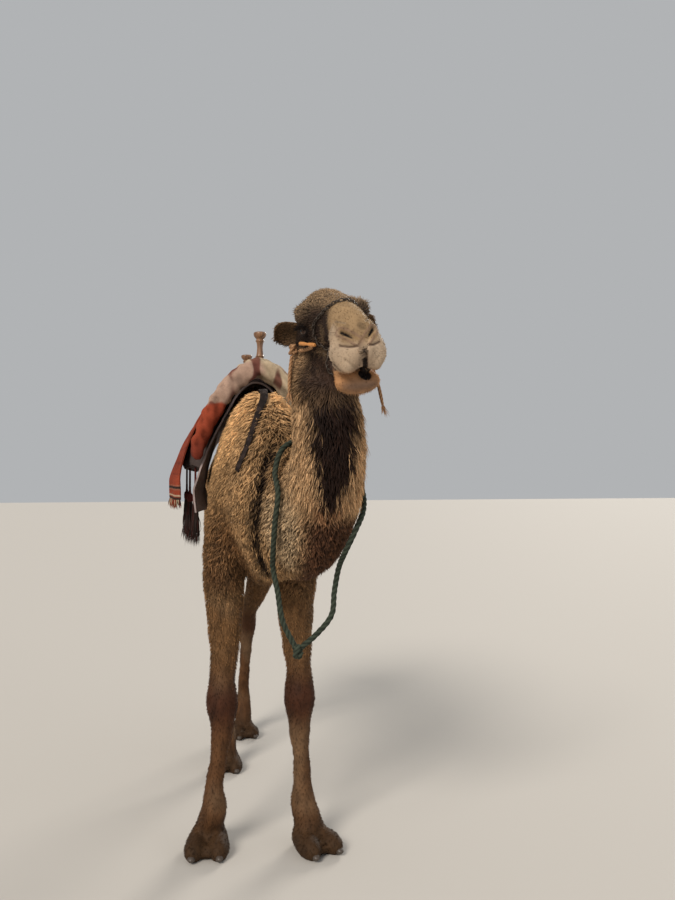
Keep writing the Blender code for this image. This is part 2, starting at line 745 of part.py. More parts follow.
def make_ear(side, sign, parts):
    """The ear's leaf, its root trimmed to stay clear of the head and the neck."""
    root = in_head(sign * 0.082, -0.086, -0.034)
    left, ahead, up = HEAD_AXES
    tip = sign * 0.90 * left - 0.34 * ahead - 0.20 * up
    tip /= np.linalg.norm(tip)
    open_way = 0.85 * ahead + sign * 0.30 * left - 0.42 * up
    open_way -= (open_way @ tip) * tip
    open_way /= np.linalg.norm(open_way)
    frame = np.array([tip, np.cross(open_way, tip), open_way])
    outer, inner = (root + grid @ frame for grid in ear_leaf())
    steps, across = outer.shape[:2]
    rings = np.concatenate([outer, inner[:, ::-1]], axis=1)
    made = add_object(f"ear_{side}", rings.reshape(-1, 3), ring_faces(steps, 2 * across), COAT)
    for near_by in (parts["head"], parts["neck"]):
        made = minus(made, inflated(near_by, REST, "clearance"), f"ear_{side}")
    return made


def inflated(source, by, name):
    """A hidden copy of an object, its points moved out along their normals."""
    mesh = source.data.copy()
    normals = np.empty(len(mesh.vertices) * 3, np.float32)
    mesh.vertex_normals.foreach_get("vector", normals)
    set_coordinates(mesh, coordinates(mesh) + by * normals.reshape(-1, 3))
    made = bpy.data.objects.new(name, mesh)
    bpy.context.scene.collection.objects.link(made)
    made.hide_render = True
    made.display_type = "WIRE"
    return made


def make_body():
    body = thinned(whole_body())
    body = minus(body, cutter("cuts", parting_cuts), "flesh")
    body = minus(body, cutter("sockets", eye_sockets), "flesh")
    parts = loose_parts(body)
    make_eyes()
    for side, sign in (("left", 1), ("right", -1)):
        make_ear(side, sign, parts)
    return parts


# ---------------------------------------------------------------- laying tack on the body
def reached(field, origins, directions, gap, far=0.9, steps=160):
    """For each ray, the furthest point along it where the field is still below gap."""
    origins = np.broadcast_to(np.array(origins, float), directions.shape)
    t = np.linspace(0, far, steps)
    points = origins[:, None] + directions[:, None] * t[None, :, None]
    inside = field(points.reshape(-1, 3)).reshape(len(directions), steps) < gap
    last = steps - 1 - np.argmax(inside[:, ::-1], axis=1)
    low, high = t[last], t[np.minimum(last + 1, steps - 1)]
    for _ in range(12):
        middle = (low + high) / 2
        under = field(origins + directions * middle[:, None]) < gap
        low, high = np.where(under, middle, low), np.where(under, high, middle)
    return origins + directions * ((low + high) / 2)[:, None]


def outward(points):
    """Unit directions straight out of the flesh at the points."""
    gradient = slope(flesh, points)[1]
    return gradient / np.maximum(np.linalg.norm(gradient, axis=1), 1e-9)[:, None]


def flat_strap(name, path, out, width, thick, material):
    """A strap of flat section along path, its broad side facing out."""
    ahead = np.gradient(path, axis=0)
    ahead /= np.linalg.norm(ahead, axis=1)[:, None]
    aside = np.cross(ahead, out)
    aside /= np.linalg.norm(aside, axis=1)[:, None]
    half = aside * width / 2
    corners = [path - half, path + half, path + half + out * thick, path - half + out * thick]
    rings = np.stack(corners, axis=1)
    return add_object(
        name, rings.reshape(-1, 3), ring_faces(len(path), 4), material, smooth=False
    )


def round_cord(name, route, diameter, material, points=40, sides=2, closed=False):
    """A cord as a bevelled curve on a smooth line through the points of its route."""
    rows = np.array(route, float)
    if closed:
        rows = np.vstack([rows[-2:], rows, rows[:2]])
        line = smooth_path(rows, between=8)[16:-16]
    else:
        line = smooth_path(rows, between=8)
    gaps = np.linalg.norm(np.diff(line, axis=0), axis=1)
    along = np.concatenate([[0], np.cumsum(gaps)])
    wanted = np.linspace(0, along[-1], points)
    line = np.column_stack([np.interp(wanted, along, line[:, k]) for k in range(3)])
    if closed:
        line = line[:-1]
    curve = bpy.data.curves.new(name, "CURVE")
    curve.dimensions = "3D"
    curve.bevel_depth, curve.bevel_resolution = diameter / 2, sides
    curve.use_fill_caps = not closed
    spline = curve.splines.new("POLY")
    spline.points.add(len(line) - 1)
    spline.points.foreach_set("co", np.column_stack([line, np.ones(len(line))]).ravel())
    spline.use_cyclic_u = closed
    curve.materials.append(material)
    made = bpy.data.objects.new(name, curve)
    bpy.context.scene.collection.objects.link(made)
    return made


def turned(name, centre, profile, sides, material, tilt=(0.0, 0.0)):
    """A turned post: profile rows are height and radius; tilt leans it, in radians."""
    turn = np.arange(sides) * 2 * math.pi / sides
    rings = np.array(
        [[(r * math.cos(a), r * math.sin(a), h) for a in turn] for h, r in profile]
    )
    lean = np.array(Matrix.Rotation(tilt[0], 3, "X") @ Matrix.Rotation(tilt[1], 3, "Y"))
    points = rings.reshape(-1, 3) @ lean.T + np.array(centre)
    return add_object(name, points, ring_faces(len(profile), sides), material)


# ---------------------------------------------------------------- saddle
SADDLE_TOP = 2.052  # height of the rug over the hump
SADDLE_TURN = 1.49  # height where the rug starts to hang straight down
SADDLE_HALF = 0.374  # half the width there
TENT = 1.4  # how round the section is: 1 is a straight roof, 2 an ellipse
FRONT_TENT = 0.35  # how much rounder it is at the front
SADDLE_MIDDLE = 0.66
SADDLE_HALF_LENGTH = 0.345
RUG_THICK = 0.016
RUG_HEM = 1.405
FELT_GAP = 0.017  # room for the girth under the felt
FELT_THICK = 0.012
PAD_GAP = FELT_GAP + FELT_THICK + 0.010
ARCH_THICK = 0.030
FRONT_ARCH, REAR_ARCH = 0.378, 0.980
FRONT_POST_TOP, REAR_POST_TOP = 2.172, 2.150


def tent(y, depth, turn):
    """The saddle's section at y, depth inside its outer face; turn runs from -1 to 1.

    The section is a roof with a rounded ridge whose sides end up straight down.
    """
    turn = np.asarray(turn, float)
    angle = np.abs(turn) * math.pi / 2
    end = (y - SADDLE_MIDDLE) / SADDLE_HALF_LENGTH
    ends = end**2
    half = SADDLE_HALF - (0.056 if end < 0 else 0.032) * ends - depth
    power = 2 / (TENT + FRONT_TENT * min(end, 0) ** 2)
    rise = SADDLE_TOP - 0.015 * ends - SADDLE_TURN - depth
    x = np.sign(turn) * half * np.sin(angle) ** power
    z = SADDLE_TURN + rise * np.cos(angle) ** power
    return np.column_stack([x + swayed(0.6), np.full(len(turn), y), z])


def solid_sheet(name, outer, inner, material, smooth=True):
    """A closed sheet between an outer and an inner grid of points."""
    rings = np.concatenate([outer, inner[:, ::-1]], axis=1)
    faces = ring_faces(rings.shape[0], rings.shape[1])
    return add_object(name, rings.reshape(-1, 3), faces, material, smooth)


def make_rug():
    """The rug over the saddle, hanging straight down at its sides in a few broad folds."""
    turn = np.linspace(-1, 1, 17)
    turn = np.concatenate([[-1.0], turn, [1.0]])
    grids = []
    for depth in (0.0, RUG_THICK):
        grid = []
        for y in np.linspace(FRONT_ARCH + 0.021, REAR_ARCH - 0.021, 7):
            line = tent(y, depth, turn)
            low = np.clip((1.80 - line[:, 2]) / 0.30, 0, 1)
            fold = 0.008 * (1 + math.sin((y - FRONT_ARCH) * 21.0))
            line[:, 0] += np.sign(turn) * fold * low
            line[[0, -1], 2] = RUG_HEM
            grid.append(line)
        grids.append(np.array(grid))
    return solid_sheet("saddle_rug", *grids, RUG)


def over_body(y, first, last, count, gap, lean=0.0):
    """Evenly spaced points round the trunk at y, gap above the coat; lean moves the top back.

    The turns are in degrees from the left side, over the back, to the right.
    """
    turns = np.radians(np.linspace(first, last, 121))
    rays = np.column_stack([np.cos(turns), 0 * turns, np.sin(turns)])
    back = y + lean * np.maximum(np.sin(turns), 0) ** 2
    middles = np.column_stack([0 * turns + swayed(y), back, 0 * turns + 1.46])
    line = reached(flesh, middles, rays, gap)
    along = np.concatenate([[0], np.cumsum(np.linalg.norm(np.diff(line, axis=0), axis=1))])
    wanted = np.linspace(0, along[-1], count)
    return np.column_stack([np.interp(wanted, along, line[:, k]) for k in range(3)])


def make_felt():
    """The felt that lies on the coat, from one flank over the back to the other."""
    grids = [
        np.array(
            [
                over_body(y, -27, 207, 23, gap, lean=0.070 * (1 - row / 5))
                for row, y in enumerate(np.linspace(0.300, 1.060, 6))
            ]
        )
        for gap in (FELT_GAP + FELT_THICK, FELT_GAP)
    ]
    return solid_sheet("saddle_felt", *grids, FELT)


def under_rug(y, turn, depth):
    """Points between rug and felt: on the rug's inner face, and below them above the felt."""
    outer = tent(y, RUG_THICK + depth, turn)
    middle = np.array([swayed(y), y, 1.46])
    rays = outer - middle
    far = np.linalg.norm(rays, axis=1)
    rays /= far[:, None]
    inner = reached(flesh, middle, rays, PAD_GAP)
    close = np.minimum(np.linalg.norm(inner - middle, axis=1), far - 0.008)
    return outer, middle + rays * close[:, None]


def make_pads():
    """A stuffed pad on each side of the hump that carries the arches and the rug."""
    first, last = FRONT_ARCH + ARCH_THICK / 2, REAR_ARCH - ARCH_THICK / 2
    for side, sign in (("left", 1), ("right", -1)):
        turn = sign * np.linspace(0.20, 0.86, 8)
        outer, inner = [], []
        for y in np.linspace(first + 0.001, last - 0.001, 5):
            above, below = under_rug(y, turn, 0.004)
            outer.append(above)
            inner.append(below)
        solid_sheet(f"saddle_pad_{side}", np.array(outer), np.array(inner), PADDING)


def make_arches():
    """The wooden tree: an arch in front of the hump and one behind, each with its post."""
    turn = np.linspace(-0.72, 0.72, 17)
    for end, y, post_top in (
        ("front", FRONT_ARCH, FRONT_POST_TOP), ("rear", REAR_ARCH, REAR_POST_TOP)
    ):
        faces = []
        for place in (y - ARCH_THICK / 2, y + ARCH_THICK / 2):
            outer = tent(place, RUG_THICK + 0.004, turn)
            inner = tent(place, RUG_THICK + 0.004 + 0.042, turn)
            outer[:, 2] += 0.012 * (1 - np.abs(turn) / 0.72)
            faces.append((outer, inner))
        (front_out, front_in), (rear_out, rear_in) = faces
        rings = np.stack([front_out, rear_out, rear_in, front_in], axis=1)
        made = add_object(
            f"saddle_arch_{end}", rings.reshape(-1, 3), ring_faces(len(turn), 4), WOOD, False
        )
        top = coordinates(made.data)[:, 2].max()
        x = swayed(0.6) + 0.012
        post = [
            (0.0, 0.017), (0.030, 0.017), (0.060, 0.016), (0.085, 0.018), (0.098, 0.026),
            (0.106, 0.029), (0.112, 0.028), (0.116, 0.022),
        ]
        scale = (post_top - top) / 0.116
        base = (x, y, top + REST)
        turned(f"saddle_post_{end}", base, [(h * scale, r) for h, r in post], 10, WOOD)


def make_roll():
    """The rug's rolled front edge over the front arch, thinner down its sides."""
    turn = np.linspace(-0.80, 0.80, 15)
    radius = 0.053 - 0.018 * np.abs(turn / 0.80) ** 2
    line = tent(FRONT_ARCH, 0.044, turn)
    line[:, 1] = FRONT_ARCH - ARCH_THICK / 2 - 0.058
    stations = np.column_stack([line, radius * 0.95, radius])
    points, faces = rough_tube(stations, side=np.array([0.0, 1.0, 0.0]), sides=8, between=1)
    return add_object("saddle_roll", points, faces, PADDING)


def make_girth():
    """The girth, from under the felt on one side round the belly to the other."""
    line = over_body(0.470, -12, -168, 17, 0.006)
    out = outward(line)
    out[:, 1] = 0
    out /= np.linalg.norm(out, axis=1)[:, None]
    return flat_strap("saddle_girth", line, out, 0.065, 0.0035, STRAP)


TASSELS = ((0.430, 0.275), (0.505, 0.297), (0.880, 0.300))  # distance back, distance aside


def make_tassels():
    """Long tassels that hang from the pads beside the belly."""
    profile = [
        (0.0, 0.026), (0.090, 0.024), (0.170, 0.020), (0.215, 0.013),
        (0.240, 0.014), (0.250, 0.006), (0.340, 0.005),
    ]
    for sign, side in ((1, "left"), (-1, "right")):
        for number, (y, x) in enumerate(TASSELS, start=1):
            place = (swayed(0.6) + sign * x, y, 1.185)
            turned(f"tassel_{side}_{number}", place, profile, 6, TASSEL)


def make_shoulder_strap():
    """A tie strap from under the saddle over the withers and down the right shoulder."""
    route = [(0.020, 0.280, 1.880), (0.005, 0.080, 1.870), (-0.009, -0.100, 1.845),
             (-0.045, -0.205, 1.765), (-0.080, -0.262, 1.666), (-0.106, -0.265, 1.594),
             (-0.128, -0.250, 1.534)]
    line = pulled_to(flesh, smooth_path(route, 3), level=0.007, rounds=8)
    return flat_strap("shoulder_strap", line, outward(line), 0.032, 0.0045, STRAP)


# ---------------------------------------------------------------- halter and neck rope
CHAIN_WIDTH = 0.013
ROPE_WIDTH = 0.013
NECK_ROPE_WIDTH = 0.021


def on_flesh(rows, gap):
    """Points given in the head's frame, moved on to the coat."""
    points = np.array([in_head(*row) for row in rows])
    return pulled_to(flesh, points, level=gap, rounds=8, most=0.02)


def noseband_route(gap):
    """A ring round nose and jaw that comes back to the cheeks at its sides."""
    left, ahead, above = HEAD_AXES
    route = []
    for turn in np.radians(np.arange(24) * 15.0):
        forward = 0.115 - 0.055 * math.cos(turn) ** 2 - 0.010 * math.sin(turn)
        ray = math.cos(turn) * left + math.sin(turn) * above
        middle = in_head(0, forward, -0.050)
        route.append(reached(flesh, middle, ray[None], gap, far=0.17)[0])
    return np.array(route)


def make_knot(name, centre, radii, material):
    """A knot as a lump with the given half-sizes."""
    shape = bmesh.new()
    bmesh.ops.create_icosphere(shape, subdivisions=2, radius=1.0)
    faces = [[v.index for v in face.verts] for face in shape.faces]
    points = [centre + np.array(v.co) * radii for v in shape.verts]
    shape.free()
    return add_object(name, points, faces, material)


def make_halter():
    """Noseband of chain, ropes over the cheeks and behind the ears, a toggle and loose ends."""
    band = noseband_route(CHAIN_WIDTH / 2 + 0.004)
    round_cord("halter_noseband", band, CHAIN_WIDTH, IRON, points=21, closed=True)
    clear = ROPE_WIDTH / 2 + 0.005
    for side, sign in (("left", 1), ("right", -1)):
        cheek = on_flesh(
            [(sign * 0.090, 0.044, -0.080), (sign * 0.098, 0.015, -0.086),
             (sign * 0.106, -0.015, -0.092), (sign * 0.112, -0.040, -0.096)], clear
        )
        round_cord(f"halter_cheek_{side}", cheek, ROPE_WIDTH, ROPE, points=6)
        knot = on_flesh([(sign * 0.114, -0.066, -0.096)], 0.016)[0]
        make_knot(f"halter_knot_{side}", knot, (0.0125, 0.015, 0.016), ROPE)
        ends = RIGHT_END if side == "right" else LEFT_END
        ends = pulled_clear(knot + np.array(ends), clear)
        round_cord(f"halter_end_{side}", ends, ROPE_WIDTH, ROPE, points=9)
    over = on_flesh(
        [(0.112, -0.096, -0.110), (0.110, -0.150, -0.115), (0.100, -0.190, -0.075),
         (0.090, -0.205, -0.030), (0.060, -0.215, 0.015), (0.0, -0.220, 0.040),
         (-0.060, -0.215, 0.015), (-0.090, -0.205, -0.030), (-0.100, -0.190, -0.075),
         (-0.110, -0.150, -0.115), (-0.112, -0.096, -0.110)], clear
    )
    round_cord("halter_headrope", over, ROPE_WIDTH, ROPE, points=16)
    toggle = on_flesh([(-0.110, -0.012, -0.058), (-0.080, 0.078, -0.052)], 0.0245)
    stations = [(*place, TOGGLE_HALF, TOGGLE_HALF) for place in toggle]
    points, faces = rough_tube(stations, HEAD_AXES[2], sides=8, between=1)
    add_object("halter_toggle", points, faces, TOGGLE)


TOGGLE_HALF = 0.0065
# The rope's loose ends, from each knot down: steps to the left, back and up.
RIGHT_END = [(-0.004, 0.004, -0.020), (-0.010, 0.010, -0.080), (-0.012, 0.016, -0.150)]
LEFT_END = [(0.006, 0.000, -0.021), (0.028, -0.004, -0.080), (0.052, -0.006, -0.150),
            (0.068, -0.006, -0.220)]


def pulled_clear(points, gap):
    """Points moved away from the coat where they are nearer to it than gap."""
    clear = pulled_to(flesh, points, level=gap, rounds=6)
    return np.where((flesh(points) < gap)[:, None], clear, points)


def make_neck_rope():
    """A rope round the base of the neck, knotted where its loop hangs below the chest."""
    gap = NECK_ROPE_WIDTH / 2 + 0.006
    right = [(0.050, -0.471, 0.920), (0.017, -0.463, 1.000), (0.004, -0.425, 1.100)]
    left = [(0.205, -0.462, 1.100), (0.190, -0.485, 1.020), (0.135, -0.490, 0.955),
            (0.092, -0.479, 0.914)]
    upper = [(0.000, -0.400, 1.190), (0.003, -0.445, 1.257), (0.006, -0.495, 1.361),
             (0.018, -0.510, 1.450), (0.030, -0.450, 1.515), (0.060, -0.390, 1.565),
             (0.120, -0.360, 1.595), (0.190, -0.360, 1.590), (0.250, -0.400, 1.545),
             (0.280, -0.465, 1.470), (0.272, -0.530, 1.400), (0.240, -0.575, 1.330),
             (0.212, -0.550, 1.260), (0.205, -0.480, 1.200)]
    upper = pulled_to(flesh, np.array(upper), level=gap, rounds=8, most=0.03)
    route = np.vstack([right, upper, left])
    round_cord("neck_rope", route, NECK_ROPE_WIDTH, NECK_ROPE, points=38)
    make_knot("neck_rope_knot", np.array([0.069, -0.475, 0.893]), (0.020, 0.019, 0.026), NECK_ROPE)


# ---------------------------------------------------------------- the whole model
def to_bottom_centre():
    """Moves everything so that the origin is on the floor under the middle of the whole."""
    things = [o for o in bpy.context.scene.objects if not o.hide_render]
    graph = bpy.context.evaluated_depsgraph_get()
    graph.update()
    lows, highs = [], []
    for thing in things:
        shape = thing.evaluated_get(graph).to_mesh()
        points = coordinates(shape)
        lows.append(points.min(0))
        highs.append(points.max(0))
    low, high = np.min(lows, axis=0), np.max(highs, axis=0)
    shift = Matrix.Translation((-(low[0] + high[0]) / 2, -(low[1] + high[1]) / 2, 0))
    for thing in things:
        thing.data.transform(shift)
    return shift


if __name__ == "__main__":
    for old in list(bpy.data.objects):
        bpy.data.objects.remove(old)
    make_body()
    make_rug()
    make_felt()
    make_pads()
    make_arches()
    make_roll()
    make_girth()
    make_tassels()
    make_shoulder_strap()
    make_halter()
    make_neck_rope()
    to_bottom_centre()
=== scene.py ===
# %% [markdown]
# # A saddled dromedary, standing still
# The animal is built the way a museum makes a mounted model: first the whole body as one smooth
# form, then a skin over it, then a coat of thousands of small locks, and last what it wears.
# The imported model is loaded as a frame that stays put; everything here is dressed over it.

# %% Load the frame
import math

import bmesh
import bpy
import numpy as np
from mathutils import Matrix, Vector


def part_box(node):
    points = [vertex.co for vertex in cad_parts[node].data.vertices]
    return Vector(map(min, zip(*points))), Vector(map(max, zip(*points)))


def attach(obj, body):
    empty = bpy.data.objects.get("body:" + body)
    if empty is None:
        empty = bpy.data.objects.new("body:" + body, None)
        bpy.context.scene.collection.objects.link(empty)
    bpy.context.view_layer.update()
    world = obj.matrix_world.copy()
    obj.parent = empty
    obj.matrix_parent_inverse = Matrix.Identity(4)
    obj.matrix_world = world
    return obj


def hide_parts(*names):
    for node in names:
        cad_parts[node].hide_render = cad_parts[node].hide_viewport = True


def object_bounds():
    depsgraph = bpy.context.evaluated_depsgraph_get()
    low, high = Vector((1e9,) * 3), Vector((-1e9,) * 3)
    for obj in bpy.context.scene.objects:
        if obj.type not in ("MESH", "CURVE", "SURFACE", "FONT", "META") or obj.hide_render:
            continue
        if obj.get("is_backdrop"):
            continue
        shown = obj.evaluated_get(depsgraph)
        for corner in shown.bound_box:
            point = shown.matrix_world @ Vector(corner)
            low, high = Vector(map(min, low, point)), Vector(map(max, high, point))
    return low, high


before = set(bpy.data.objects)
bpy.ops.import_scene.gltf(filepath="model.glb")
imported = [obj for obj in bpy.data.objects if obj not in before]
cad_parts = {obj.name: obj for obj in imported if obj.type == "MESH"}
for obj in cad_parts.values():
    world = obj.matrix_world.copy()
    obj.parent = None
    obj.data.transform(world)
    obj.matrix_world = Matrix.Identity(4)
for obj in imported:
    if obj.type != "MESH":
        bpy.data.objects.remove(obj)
cad_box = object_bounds()

# %% [markdown]
# ## One field for the whole body
# A field is a function that is negative inside the animal and zero on its outline. Oval tubes
# and balls, each standing for a bone or a muscle, flow into each other in it. The solids were
# made from the same field, so whatever is laid on it here fits them without any fitting.
# Lengths are in metres; -Y is forward and +X is the camel's left.

# %% Driving dimensions
WITHERS = 1.855  # height of the back above the front legs
BRISKET = 1.06  # height of the underside of the chest
ELBOW = 1.06  # height where a front leg leaves the trunk
KNEE = 0.60  # height of the carpus, the front knee
HOCK = 0.66  # height of the hock, the hind heel
FETLOCK = 0.17  # height of the joint above the foot
CHEST_HALF = 0.192  # half the width of the chest between the shoulders
BELLY_HALF = 0.208  # half the width of the barrel at its widest
RUMP = 1.50  # distance from the front feet back to the point of the rump
EYE_RADIUS = 0.021
HEAD_AT = np.array([0.166, -0.625, 2.050])  # midway between the eyes
HEAD_PITCH = math.radians(-13.0)  # the nose points below the horizon
HEAD_YAW = math.radians(1.8)  # and a little to the camel's left
HEAD_ROLL = math.radians(-8.0)  # the left ear is carried higher


def head_axes():
    """The head's own left, forward and up directions, as rows."""
    turn = (
        Matrix.Rotation(HEAD_YAW, 3, "Z")
        @ Matrix.Rotation(-HEAD_PITCH, 3, "X")
        @ Matrix.Rotation(HEAD_ROLL, 3, "Y")
    )
    left, back, up = (np.array(turn.col[i]) for i in range(3))
    return np.array([left, -back, up])


HEAD_AXES = head_axes()


def in_head(left, forward, up):
    """A point given along the head's own axes, as a point of the model."""
    return HEAD_AT + np.array([left, forward, up]) @ HEAD_AXES


def in_head_rows(rows):
    """The same for many points, one to a row."""
    return np.array([in_head(*row) for row in rows])


def unit(ways):
    """Each direction, brought to length one."""
    return ways / np.maximum(np.linalg.norm(ways, axis=-1, keepdims=True), 1e-12)


FAR = 1.0  # value given to points too far away to matter
ACROSS = np.array([1.0, 0.0, 0.0])

# %% Field shapes
def smooth_path(stations, between=3):
    """Adds stations between the given ones, on a Catmull-Rom curve through them all."""
    rows = np.array(stations, float)
    ends = np.vstack([2 * rows[0] - rows[1], rows, 2 * rows[-1] - rows[-2]])
    made = []
    for i in range(1, len(ends) - 2):
        p0, p1, p2, p3 = ends[i - 1 : i + 3]
        square, cube = 2 * p0 - 5 * p1 + 4 * p2 - p3, 3 * p1 - 3 * p2 + p3 - p0
        for t in np.arange(between) / between:
            made.append(0.5 * (2 * p1 + (p2 - p0) * t + square * t**2 + cube * t**3))
    return np.array([*made, rows[-1]])


def merge(a, b, reach):
    """The union of two fields, rounded where they are within reach of each other."""
    h = np.clip(0.5 + 0.5 * (b - a) / reach, 0, 1)
    return b + (a - b) * h - reach * h * (1 - h)


def carve(a, b, reach):
    """Field a with field b taken out of it, its rim rounded."""
    return -merge(-a, b, reach)


def near(points, low, high, margin=0.30):
    """Which points lie in the box from low to high, or within the margin of it."""
    return np.all((points > low - margin) & (points < high + margin), axis=1)


def oval_tube(points, stations, side=ACROSS, reach=0.010, between=3, keel=0.0, ridge=0.0):
    """A tube through stations of (x, y, z, half-width along side, half-depth), with round ends.

    On a tube that runs back, the underside is narrower by the share keel and the top by ridge.
    """
    rows = smooth_path(stations, between)
    value = np.full(len(points), FAR)
    wide = rows[:, 3:].max()
    close = near(points, rows[:, :3].min(0) - wide, rows[:, :3].max(0) + wide)
    if not close.any():
        return value
    here = points[close]
    best = np.full(len(here), FAR)
    last = len(rows) - 2
    for i in range(len(rows) - 1):
        start, end = rows[i], rows[i + 1]
        step = end[:3] - start[:3]
        run = step @ step
        along = step / math.sqrt(run)
        t = np.clip((here - start[:3]) @ step / run, 0, 1)
        off = here - start[:3] - t[:, None] * step
        across = side - (side @ along) * along
        across /= np.linalg.norm(across)
        a = start[3] + t * (end[3] - start[3])
        b = start[4] + t * (end[4] - start[4])
        small = np.minimum(a, b)
        deep = off @ np.cross(along, across)
        if keel or ridge:
            high = deep / b
            a = a * (1 + keel * np.clip(high, -1, 0) - ridge * np.clip(high, 0, 1))
        at_end = ((t <= 0) & (i == 0)) | ((t >= 1) & (i == last))
        r = np.sqrt(
            (off @ across / a) ** 2
            + (deep / b) ** 2
            + (off @ along / np.where(at_end, small, b)) ** 2
        )
        best = merge(best, (r - 1) * small, reach)
    value[close] = best
    return value


def ball(points, centre, radii, axes=None):
    """An ellipsoid with the given half-sizes along the model's axes, or along its own."""
    centre, radii = np.array(centre, float), np.array(radii, float)
    value = np.full(len(points), FAR)
    wide = radii.max()
    close = near(points, centre - wide, centre + wide)
    off = points[close] - centre
    if axes is not None:
        off = off @ axes.T
    value[close] = (np.sqrt(((off / radii) ** 2).sum(1)) - 1) * radii.min()
    return value


# %% Anatomy
# Trunk: distance behind the front feet, height of the middle, half-width, half-height.
# The hindquarters stand a little to the left of the line of the front feet.
CHEST_MIDDLE, CHEST_DEPTH = (WITHERS + BRISKET) / 2, (WITHERS - BRISKET) / 2
TRUNK = [
    (-0.200, CHEST_MIDDLE - 0.085, 0.090, 0.150),
    (-0.110, CHEST_MIDDLE - 0.045, 0.150, 0.280),
    (0.020, CHEST_MIDDLE - 0.005, CHEST_HALF - 0.005, CHEST_DEPTH - 0.020),
    (0.190, CHEST_MIDDLE, CHEST_HALF + 0.012, CHEST_DEPTH),
    (0.400, CHEST_MIDDLE - 0.010, BELLY_HALF - 0.012, CHEST_DEPTH - 0.010),
    (0.620, CHEST_MIDDLE, BELLY_HALF, CHEST_DEPTH - 0.030),
    (0.850, CHEST_MIDDLE + 0.015, BELLY_HALF, CHEST_DEPTH - 0.070),
    (1.060, CHEST_MIDDLE + 0.025, BELLY_HALF - 0.010, CHEST_DEPTH - 0.120),
    (1.260, CHEST_MIDDLE, 0.190, 0.250),
    (RUMP - 0.100, CHEST_MIDDLE - 0.035, 0.150, 0.200),
    (RUMP - 0.030, CHEST_MIDDLE - 0.065, 0.090, 0.120),
]
SWAY = 0.032  # sideways shift of the trunk for each metre back
TRUNK_MIDDLE = 1.46  # height from which the turns round the trunk are counted


def swayed(y):
    """How far to the left the trunk's middle is at y."""
    return SWAY * max(y, 0.0)


HUMP = ((swayed(0.66), 0.660, 1.740), (0.112, 0.260, 0.215))


def trunk_stations():
    """The trunk as stations for a tube."""
    return [(swayed(row[0]), *row) for row in TRUNK]


# Neck: centre, half-width, half-depth, from inside the chest up to the back of the skull.
NECK = [
    (0.015, 0.110, 1.545, 0.140, 0.305),
    (0.052, -0.080, 1.455, 0.152, 0.300),
    (0.088, -0.230, 1.385, 0.152, 0.265),
    (0.122, -0.365, 1.375, 0.147, 0.228),
    (0.150, -0.475, 1.450, 0.136, 0.185),
    (0.168, -0.530, 1.590, 0.126, 0.152),
    (0.164, -0.525, 1.740, 0.120, 0.132),
    (0.152, -0.495, 1.870, 0.113, 0.116),
    (0.150, -0.470, 1.960, 0.095, 0.100),
]
TAIL = [
    (swayed(RUMP), RUMP - 0.080, 1.530, 0.050, 0.045),
    (swayed(RUMP), RUMP + 0.040, 1.480, 0.034, 0.032),
    (swayed(RUMP), RUMP + 0.100, 1.370, 0.025, 0.023),
    (swayed(RUMP), RUMP + 0.116, 1.230, 0.021, 0.019),
    (swayed(RUMP) + 0.008, RUMP + 0.118, 1.080, 0.032, 0.026),
    (swayed(RUMP) + 0.010, RUMP + 0.114, 0.970, 0.022, 0.018),
]


def front_leg(side, knee_x, fetlock_x, foot):
    """Stations of a front leg; side is +1 on the left, foot the middle of the sole."""
    foot_x, foot_y = foot
    return [
        (side * 0.090, 0.130, 1.480, 0.072, 0.150),
        (side * 0.138, 0.090, 1.360, 0.078, 0.185),
        (side * 0.150, 0.070, 1.200, 0.084, 0.155),
        (side * 0.150, 0.075, ELBOW, 0.080, 0.120),
        (side * 0.148, 0.060, 0.940, 0.073, 0.086),
        (side * 0.150, 0.045, 0.810, 0.060, 0.062),
        (knee_x, 0.030, KNEE + 0.095, 0.052, 0.053),
        (knee_x, 0.020, KNEE, 0.063, 0.063),
        (knee_x, 0.022, KNEE - 0.100, 0.047, 0.047),
        (0.6 * knee_x + 0.4 * fetlock_x, 0.022, 0.370, 0.035, 0.038),
        (fetlock_x, 0.018, FETLOCK + 0.080, 0.038, 0.039),
        (fetlock_x, 0.010, FETLOCK, 0.050, 0.047),
        (0.4 * fetlock_x + 0.6 * foot_x, foot_y + 0.030, 0.095, 0.056, 0.056),
    ]


def hind_leg(side, hock_y, foot):
    """Stations of a hind leg, whose foot may stand further back or forward."""
    foot_x, foot_y = foot
    middle = swayed(1.2)
    return [
        (middle + side * 0.085, 1.230, 1.480, 0.105, 0.180),
        (middle + side * 0.108, 1.190, 1.320, 0.102, 0.200),
        (middle + side * 0.118, 1.130, 1.160, 0.090, 0.175),
        (middle + side * 0.113, 0.45 * hock_y + 0.55 * 1.080, 1.000, 0.076, 0.125),
        (0.75 * middle + side * 0.095, 0.72 * hock_y + 0.28 * 1.080, 0.850, 0.058, 0.080),
        (0.5 * middle + side * 0.075, hock_y - 0.015, HOCK + 0.080, 0.044, 0.062),
        (0.4 * middle + side * 0.070, hock_y, HOCK, 0.050, 0.062),
        (0.3 * middle + side * 0.070, 0.85 * hock_y + 0.15 * foot_y, HOCK - 0.110, 0.036, 0.043),
        (0.3 * foot_x + side * 0.050, 0.50 * (hock_y + foot_y), 0.380, 0.030, 0.035),
        (0.7 * foot_x + side * 0.022, foot_y + 0.040, FETLOCK + 0.080, 0.033, 0.035),
        (foot_x, foot_y + 0.040, FETLOCK, 0.043, 0.042),
        (foot_x, foot_y + 0.020, 0.090, 0.047, 0.048),
    ]


